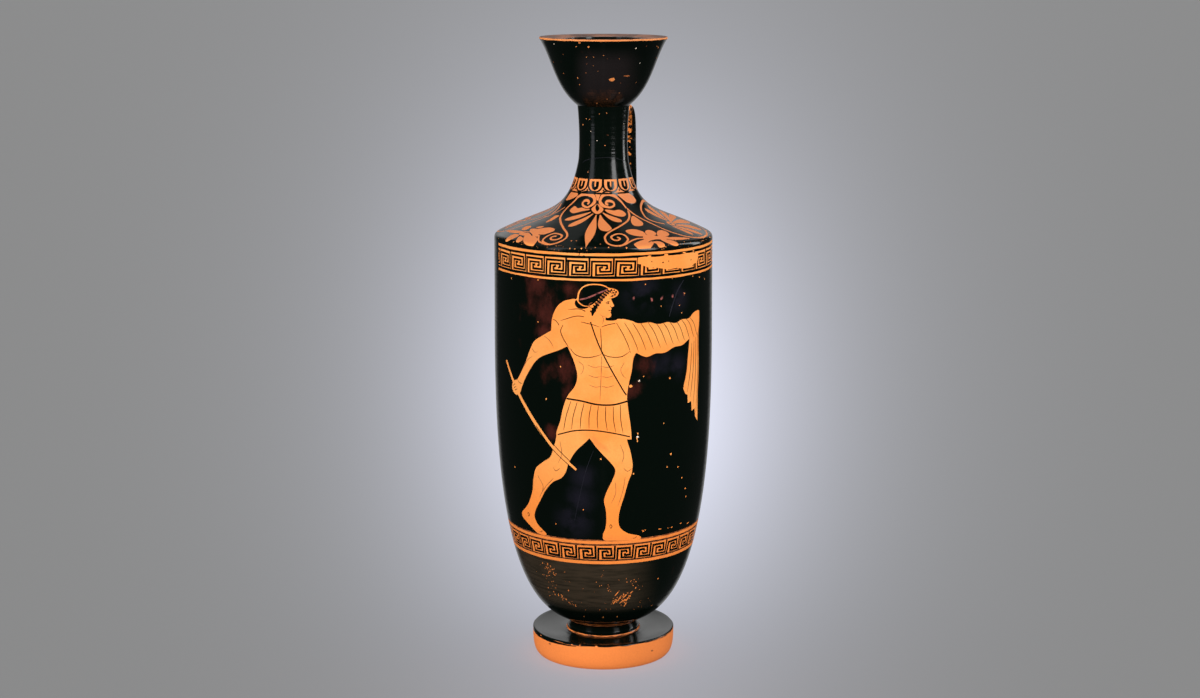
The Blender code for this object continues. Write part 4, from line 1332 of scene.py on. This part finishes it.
def funnel_rings():
    """Down the inside from the lip to the neck."""
    inner = (MOUTH_RADIUS - LIP_WIDTH, RIM_Z - LIP_FALL)
    funnel = bezier(inner, (inner[0] - LIP_EDGE, inner[1] - MOUTH_HEIGHT * 0.45),
                    (NECK_BORE_RADIUS, MOUTH_FOOT_Z + WALL * 2), (NECK_BORE_RADIUS, MOUTH_FOOT_Z), 30)
    return [tuple(p) for p in funnel[1:]]


def rows_along(sheet, spacing, fine_from=None, fine_to=None, fine=0.5 * MM):
    """Ways up the outline for the even grid, closer together over one stretch."""
    rows = [0.0]
    while rows[-1] < sheet.up[-1] - spacing * 0.6:
        close = fine_from is not None and fine_from <= rows[-1] < fine_to
        rows.append(rows[-1] + (fine if close else spacing))
    rows[-1] = sheet.up[-1]
    return np.array(rows)


mouth_sheet = Sheet(mouth_outline(), MOUTH_RADIUS)
lip_low = mouth_sheet.up_at_height(RIM_Z - LIP_BAND_HEIGHT)
lip_high = lip_low + LIP_BAND_HEIGHT
full_ring(mouth_sheet, THIN_GLOSS, lip_high, mouth_sheet.up[-1] - 0.5 * MM, 0.12)
full_ring(mouth_sheet, CLAY, lip_low + 0.75 * MM, lip_high + 0.1 * MM, 0.15)
MOUTH_CHIPS = ((-52, 396.4, 1.0, PALE), (-26, 395.4, 0.9, CLAY), (-14, 395.4, 1.5, CLAY),
               (-22, 397.9, 1.5, CLAY), (-44, 390.2, 0.6, WASH), (-68, 384.8, 0.7, WASH),
               (-17, 389.1, 0.6, CLAY), (-10, 389.1, 0.5, CLAY), (-18, 384.8, 0.6, WASH),
               (-11, 383.7, 0.5, CLAY), (0, 390.2, 0.6, CLAY), (4, 388.1, 0.5, WASH),
               (16, 388.1, 0.5, CLAY), (32, 394.4, 1.1, PALE), (44, 395.4, 0.8, WASH),
               (61, 394.8, 0.9, CLAY), (65, 394.0, 1.0, CLAY), (74, 387.0, 0.7, CLAY),
               (42, 384.8, 0.8, PALE), (-20, 379.3, 0.6, WASH), (-6, 380.4, 0.5, CLAY),
               (-32, 376.0, 1.0, CLAY), (-32, 371.7, 0.6, CLAY), (22, 372.8, 0.6, WASH),
               (45, 372.8, 0.7, CLAY), (23, 366.5, 0.6, CLAY), (-12, 359.9, 0.9, CLAY),
               (6, 362.6, 0.6, CLAY), (-53, 378.2, 1.2, WASH))
chips(mouth_sheet, MOUTH_CHIPS)
chip(mouth_sheet, 10, 374.9, 2.6, CLAY, 1.6)
chip(mouth_sheet, 29, 377.1, 1.1, WASH, 4.5)
MOUTH_ROW_SPACING = 2.2 * MM
FINE_BESIDE_LIP = 2 * MM
mouth_rows = rows_along(mouth_sheet, MOUTH_ROW_SPACING, lip_low - FINE_BESIDE_LIP, lip_high + FINE_BESIDE_LIP)
mouth = painted_wall("mouth", mouth_sheet, mouth_rows, funnel_rings(), GLOSS, GLOSS)
dress(mouth)

# %% [markdown]
# ## The foot
#
# The disc's side and underside are bare clay. Its top is dished, so its rim stands a little
# higher than its middle. The top and the stem are black, with a bare edge left on the two small
# ridges. All of it is one outline, so the gloss can run over the disc's edge as it does in life.

# %% The foot
def foot_outline():
    """The side from the ring it stands on, then in over the dished top, then up the stem."""
    edge_z = FOOT_HEIGHT + FOOT_DISH
    inner = FOOT_RADIUS - FOOT_EDGE
    side = bezier((FOOT_REST_RADIUS, 0.0), (FOOT_RADIUS, edge_z * 0.15),
                  (FOOT_RADIUS, edge_z * 0.55), (FOOT_RADIUS, edge_z - FOOT_EDGE), 30)
    turn = bezier(side[-1], (FOOT_RADIUS, edge_z - FOOT_EDGE * 0.4), (FOOT_RADIUS - FOOT_EDGE * 0.4, edge_z),
                  (inner, edge_z), 6)
    ridge = STEM_RADIUS + RIDGE_DEPTH
    top = bezier((inner, edge_z), (inner - FOOT_DISH * 2.5, edge_z - FOOT_DISH * 0.5),
                 (inner - FOOT_DISH * 6, FOOT_HEIGHT), (ridge, FOOT_HEIGHT), 40)
    top = top[top[:, 0] > ridge + 4.5 * MM]
    slope = RIDGE_HEIGHT / 2
    hollow = RIDGE_DEPTH * 0.3
    stem = curve([(ridge + 4 * MM, FOOT_HEIGHT + 0.03 * MM),
                  (ridge + hollow, FOOT_HEIGHT + RIDGE_HEIGHT * 0.1),
                  (ridge, FOOT_HEIGHT + RIDGE_HEIGHT * 0.5),
                  (ridge - hollow, FOOT_HEIGHT + RIDGE_HEIGHT),
                  (STEM_RADIUS, FOOT_HEIGHT + RIDGE_HEIGHT + slope),
                  (STEM_RADIUS, BODY_FOOT_Z - RIDGE_HEIGHT - slope),
                  (ridge - hollow, BODY_FOOT_Z - RIDGE_HEIGHT), (ridge, BODY_FOOT_Z - RIDGE_HEIGHT * 0.5),
                  (float(body_radius(BODY_FOOT_Z)), BODY_FOOT_Z)],
                 spacing=0.3 * MM)
    return side, np.vstack([turn[1:], top[1:]]), stem


def hidden_foot_rings():
    """The disc under the body, and the hollow under the foot from its middle outwards."""
    ring_inner = FOOT_REST_RADIUS - REST_RING_WIDTH
    below = bezier((0.0, RECESS_DEPTH), (ring_inner * 0.5, RECESS_DEPTH),
                   (ring_inner * 0.75, RECESS_DEPTH * 0.25), (ring_inner, 0.0), 16)
    return [(0.0, BODY_FOOT_Z)] + [tuple(p) for p in below]


foot_side, disc_top, stem_side = foot_outline()
foot_sheet = Sheet(np.vstack([foot_side, disc_top, stem_side]), FOOT_RADIUS)
foot_top = foot_sheet.up[len(foot_side) - 1]
stem_up = foot_sheet.up[-len(stem_side):]
stem_foot = np.interp(FOOT_HEIGHT + RIDGE_HEIGHT * 0.35, stem_side[:, 1], stem_up)
stem_top = np.interp(BODY_FOOT_Z - RIDGE_HEIGHT * 0.9, stem_side[:, 1], stem_up)
full_ring(foot_sheet, GLOSS, foot_top, stem_foot, 0.3)
full_ring(foot_sheet, GLOSS, stem_foot + 0.5 * MM, foot_sheet.up[-1] - 0.25 * MM, 0.12)
full_ring(foot_sheet, WASH, stem_top + 0.2 * MM, stem_top + 0.6 * MM, 0.1)
full_ring(foot_sheet, WASH, stem_foot - 0.7 * MM, stem_foot - 0.2 * MM, 0.1)


def edge_line(finish, start, end, drop_down, width):
    """A line of slip along the foot's upper edge, between two azimuths in degrees."""
    turns = np.radians(np.linspace(start, end, 14)) * FOOT_RADIUS / MM
    path = np.column_stack([turns, np.full(len(turns), foot_top / MM - drop_down)])
    foot_sheet.paint(finish, widened(wobble(path, 0.12), width, 0.3, 0.2) * MM)


edge_line(GLOSS, -135, -22, 0.8, 2.2)
edge_line(WASH, 36, 100, 0.1, 0.7)
FOOT_CHIPS = ((-48.7, 13.0, 1.3, WASH), (43.0, 9.5, 1.2, WASH), (-5.5, 16.3, 1.1, CLAY),
              (-26.0, 16.1, 0.7, CLAY), (-19.0, 16.4, 0.6, CLAY), (-61.0, 15.8, 0.7, CLAY))
chips(foot_sheet, FOOT_CHIPS, 1.8)
FOOT_ROW_SPACING = 1.8 * MM
foot_rows = rows_along(foot_sheet, FOOT_ROW_SPACING)
foot = painted_wall("foot", foot_sheet, foot_rows, hidden_foot_rings(), CLAY, CLAY)
dress(foot)

# %% [markdown]
# ## The handle
#
# One flat strap of clay was pressed onto the neck, arched outwards and pressed down onto the
# shoulder. It is drawn as a ring of points that is carried along the strap's line.

# %% The handle
HANDLE_WIDTH = 22.0 * MM
HANDLE_THICKNESS = 7.0 * MM
HANDLE_REACH = 38.5 * MM
HANDLE_TURN = math.radians(15.8)
HANDLE_BELOW_MOUTH = 8.8 * MM
HANDLE_LANDING_RADIUS = 38.5 * MM
HANDLE_NECK_BITE = 3.6 * MM
HANDLE_SHOULDER_BITE = 2.4 * MM
HANDLE_NECK_WIDTH = 18.0 * MM
HANDLE_LANDING_WIDTH = 26.5 * MM
HANDLE_SQUARENESS = 2.8
HANDLE_STEPS = 36
HANDLE_CORNERS = 40


def handle_line():
    """The strap's middle line as distances from the axis and heights."""
    start = (NECK_TOP_RADIUS - HANDLE_NECK_BITE, MOUTH_FOOT_Z - HANDLE_BELOW_MOUTH)
    top = (HANDLE_REACH, start[1] - HANDLE_REACH * 0.42)
    slope = shoulder_outline(10, 400)
    place = int(np.argmin(np.abs(slope[:, 0] - HANDLE_LANDING_RADIUS)))
    along = slope[place + 1] - slope[place - 1]
    along /= np.linalg.norm(along)
    outward = np.array([along[1], -along[0]])
    landing = slope[place] - outward * HANDLE_SHOULDER_BITE
    rise = top[1] - landing[1]
    arch = bezier(start, (start[0] + HANDLE_REACH * 0.40, start[1] + HANDLE_THICKNESS * 0.8),
                  (HANDLE_REACH, start[1] + HANDLE_THICKNESS * 1.6), top, HANDLE_STEPS)
    fall = bezier(top, (HANDLE_REACH, top[1] - rise * 0.35), landing + outward * rise * 0.32, landing,
                  HANDLE_STEPS)
    return np.vstack([arch, fall[1:]])


def handle_width(share):
    """Drawn in where it leaves the neck, spread where it is pressed onto the shoulder."""
    ease = min(share / 0.25, 1)
    width = HANDLE_NECK_WIDTH + (HANDLE_WIDTH - HANDLE_NECK_WIDTH) * ease * ease * (3 - 2 * ease)
    spread = max(share - 0.8, 0) / 0.2
    return width + (HANDLE_LANDING_WIDTH - HANDLE_WIDTH) * spread ** 2


# %% The strap round its line
def make_handle():
    """One ring of points for each step of the line, joined by quads and closed at both ends."""
    line = handle_line()
    along = headings(line)
    way = ways_along(line)
    way /= way[-1]
    power = 2 / HANDLE_SQUARENESS
    points, faces = [], []
    for place, ahead, share in zip(line, along, way):
        for corner in range(HANDLE_CORNERS):
            angle = math.tau * corner / HANDLE_CORNERS
            across = math.copysign(abs(math.cos(angle)) ** power, math.cos(angle)) * handle_width(share) / 2
            through = math.copysign(abs(math.sin(angle)) ** power, math.sin(angle)) * HANDLE_THICKNESS / 2
            back = place[0] - ahead[1] * through
            rise = place[1] + ahead[0] * through
            points.append((across * math.cos(HANDLE_TURN) + back * math.sin(HANDLE_TURN),
                           back * math.cos(HANDLE_TURN) - across * math.sin(HANDLE_TURN), rise))
    for ring in range(len(line) - 1):
        for corner in range(HANDLE_CORNERS):
            after = (corner + 1) % HANDLE_CORNERS
            here, there = ring * HANDLE_CORNERS, (ring + 1) * HANDLE_CORNERS
            faces.append((here + corner, here + after, there + after, there + corner))
    for ring, centre in ((0, len(points)), (len(line) - 1, len(points) + 1)):
        middle = np.array(points[ring * HANDLE_CORNERS:(ring + 1) * HANDLE_CORNERS]).mean(axis=0)
        points.append(tuple(middle))
        for corner in range(HANDLE_CORNERS):
            pair = (ring * HANDLE_CORNERS + corner, ring * HANDLE_CORNERS + (corner + 1) % HANDLE_CORNERS)
            faces.append((centre, pair[1], pair[0]) if ring == 0 else (centre, pair[0], pair[1]))
    mesh = bpy.data.meshes.new("handle")
    mesh.from_pydata(points, [], faces)
    made = bpy.data.objects.new("handle", mesh)
    bpy.context.scene.collection.objects.link(made)
    bpy.context.view_layer.objects.active = made
    made.select_set(True)
    bpy.ops.object.mode_set(mode="EDIT")
    bpy.ops.mesh.select_all(action="SELECT")
    bpy.ops.mesh.normals_make_consistent(inside=False)
    bpy.ops.object.mode_set(mode="OBJECT")
    bpy.ops.object.shade_smooth_by_angle(angle=math.radians(45))
    made.select_set(False)
    return made


handle = make_handle()
dress(handle)
print("the handle reaches", round(HANDLE_REACH + HANDLE_THICKNESS / 2, 4), "m out from the axis")

# %% [markdown]
# ## The studio
#
# The flask stands on grey paper with a painted pool of light: its finish glows, lightest behind
# the flask and fading towards the corners. The paper is dark in front, which keeps the gloss deep.
# The painted glow and the grading are a formula in the paper's finish.

# %% Camera measures
CAMERA_DISTANCE = 1.3516
CAMERA_HEIGHT = 0.4612
CAMERA_PITCH = math.radians(10.9)
CAMERA_ASIDE = -2.15 * MM
CAMERA_LENS = 64.2
CAMERA_FILM = 36
print("the camera stands", CAMERA_DISTANCE, "m in front")

# %% Paper with a painted pool of light
FLOOR_RADIUS = 24
PAPER_GREY = (0.35, 0.352, 0.352)
PAPER_DARK = (0.05, 0.05, 0.05)
PAINTED_BASE_GLOW = 0.118
DARK_UNTIL, LIGHT_FROM = -0.22, -0.11
bpy.ops.mesh.primitive_circle_add(vertices=128, radius=FLOOR_RADIUS, fill_type="NGON", location=(0, 0, 0))
floor = bpy.context.object
floor.name = "studio_floor"
PAINTED_POOL_STRENGTH = 0.735
PAINTED_POOL_TINT = (0.96, 1.0, 1.25)
PAINTED_POOL_ASIDE = 0.0085
PAINTED_POOL_BREADTH = 0.0985
PAINTED_POOL_DEPTH = 0.3055
PAINTED_POOL_FAR = 1 / 2.13

# The paper's emission is painted light: an even painted base glow, and a painted pool of light that is
# brightest just behind the flask.
paper = Recipe("studio_paper_painted_glow", PAPER_GREY, 0.9, 0.1)
aside, behind = paper.side(), paper.back()
away = paper.calc("MAXIMUM", paper.calc("ADD", behind, CAMERA_DISTANCE), 0.2)
aside = paper.calc("SUBTRACT", paper.calc("DIVIDE", aside, away), PAINTED_POOL_ASIDE)
breadth = paper.calc("DIVIDE", aside, PAINTED_POOL_BREADTH)
depth = paper.calc("DIVIDE", paper.calc("SUBTRACT", paper.calc("DIVIDE", 1.0, away), PAINTED_POOL_FAR), PAINTED_POOL_DEPTH)
spread = paper.calc("ADD", paper.times(breadth, breadth), paper.times(depth, depth))
spread = paper.calc("ADD", 1.0, spread)
# Painted pool of light: brightest just behind the flask, fading towards the corners.
painted_pool = paper.calc("DIVIDE", PAINTED_POOL_STRENGTH, paper.times(spread, spread))
lit = paper.ramp(behind, DARK_UNTIL, LIGHT_FROM)
paper.feed(paper.shader.inputs["Base Color"], paper.mix(lit, PAPER_DARK, PAPER_GREY))
# Painted glow colour: the tinted pool of light on top of the even base glow, cut off in front of the flask.
painted_pool_colour = paper.step("ShaderNodeCombineColor")
for socket, tint in zip(painted_pool_colour.inputs, PAINTED_POOL_TINT):
    paper.feed(socket, paper.times(lit, paper.calc("MULTIPLY_ADD", painted_pool, tint, PAINTED_BASE_GLOW)))
paper.feed(paper.shader.inputs["Emission Color"], painted_pool_colour.outputs[0])
paper.shader.inputs["Emission Strength"].default_value = 1.0
floor.data.materials.append(paper.material)
floor.visible_glossy = False

# %% [markdown]
# Two narrow panels in front draw the pale streaks on the neck, the cup and the foot, and a third
# at the right rear picks out the rim. Three broad ones light the clay and stay out of the
# reflections, or the black would turn grey. Light linking keeps every panel off the paper.


# %% Which pieces the lamps light
def lit_group(name, pieces):
    """A collection of the pieces that a panel may light."""
    made = bpy.data.collections.new(name)
    for piece in pieces:
        made.objects.link(piece)
    return made


flask_only = lit_group("lit_by_key", (body, shoulder, mouth, foot, handle))
slim_parts = lit_group("lit_by_strips", (shoulder, mouth, foot, handle))
body_only = lit_group("lit_by_right_fill", (body,))


# %% Softboxes
def softbox(name, azimuth, distance, low, high, width, power, colour=(1, 1, 1), lights=slim_parts):
    """An upright panel of light that faces the flask. Azimuth 0 is the camera's side, + to the right."""
    angle = math.radians(azimuth)
    place = Vector((math.sin(angle) * distance, -math.cos(angle) * distance, (low + high) / 2))
    target = Vector((0, 0, 0.2))
    bpy.ops.object.light_add(type="AREA", location=place)
    lamp = bpy.context.object
    lamp.name = name
    lamp.rotation_euler = (target - place).to_track_quat("-Z", "Y").to_euler()
    lamp.data.shape = "RECTANGLE"
    lamp.data.size = width
    lamp.data.size_y = high - low
    lamp.data.energy = power
    lamp.data.color = colour
    lamp.light_linking.receiver_collection = lights
    return lamp


softbox("left_softbox", -51, 1.0, 0.08, 1.3, 0.33, 2.0, (0.9, 0.92, 1.0))
softbox("right_softbox", 47, 1.0, 0.27, 1.3, 0.34, 8.0)
softbox("rim_softbox", 112, 1.0, 0.16, 1.2, 0.26, 4.2)
BROAD_PANELS = (("front_softbox", -6, 1.9, 2.0, 27, flask_only),
                ("left_fill", -62, 1.6, 1.2, 20, flask_only),
                ("right_fill", 50, 1.6, 1.2, 26, body_only))
BROAD_LOW, BROAD_HIGH = 0.1, 1.5
for name, azimuth, distance, width, power, lights in BROAD_PANELS:
    lamp = softbox(name, azimuth, distance, BROAD_LOW, BROAD_HIGH, width, power, lights=lights)
    lamp.visible_glossy = False

# %% [markdown]
# The room is an even soft light. In the gloss, though, it shows only as a pale strip behind the
# flask and a pale ceiling, as it does in a studio hung with black cloth.

# %% The room
world = bpy.data.worlds.new("studio")
bpy.context.scene.world = world
world.use_nodes = True
ROOM = 0.38
CLOTH = 0.03
CEILING = 0.36
BRIGHT_STRIP = 0.78
sky = Steps(world.node_tree, "Generated")
turned = sky.calc("DIVIDE", sky.calc("ABSOLUTE", sky.side()), sky.calc("MAXIMUM", sky.back(), 0.01))
strip = sky.ramp(turned, 0.60, 0.25, CLOTH, sky.ramp(sky.height(), 0.10, 0.26, ROOM, BRIGHT_STRIP))
strip = sky.times(strip, sky.ramp(sky.height(), 0.62, 0.42, 0.3, 1.0))
ceiling = sky.ramp(sky.height(), 0.55, 0.95, CLOTH, CEILING)
mirrored_room = sky.calc("MAXIMUM", strip, ceiling)
is_mirrored = sky.step("ShaderNodeLightPath").outputs["Is Glossy Ray"]
even_room = sky.times(sky.calc("SUBTRACT", 1.0, is_mirrored), ROOM)
background = world.node_tree.nodes["Background"]
background.inputs["Color"].default_value = (1.0, 1.0, 1.0, 1.0)
sky.feed(background.inputs["Strength"], sky.calc("MULTIPLY_ADD", is_mirrored, mirrored_room, even_room))
bpy.context.scene.view_settings.view_transform = "Standard"
print("the gloss sees a strip of", BRIGHT_STRIP, "and a ceiling of", CEILING)

# %% [markdown]
# The camera stands a little above the flask and looks slightly down, so the lip and the foot show
# as flat ovals. A long lens keeps the upright sides nearly parallel.

# %% Camera
bpy.ops.object.camera_add(location=(CAMERA_ASIDE, -CAMERA_DISTANCE, CAMERA_HEIGHT),
                          rotation=(math.pi / 2 - CAMERA_PITCH, 0, 0))
camera = bpy.context.object
camera.data.lens = CAMERA_LENS
camera.data.sensor_width = CAMERA_FILM
bpy.context.scene.camera = camera
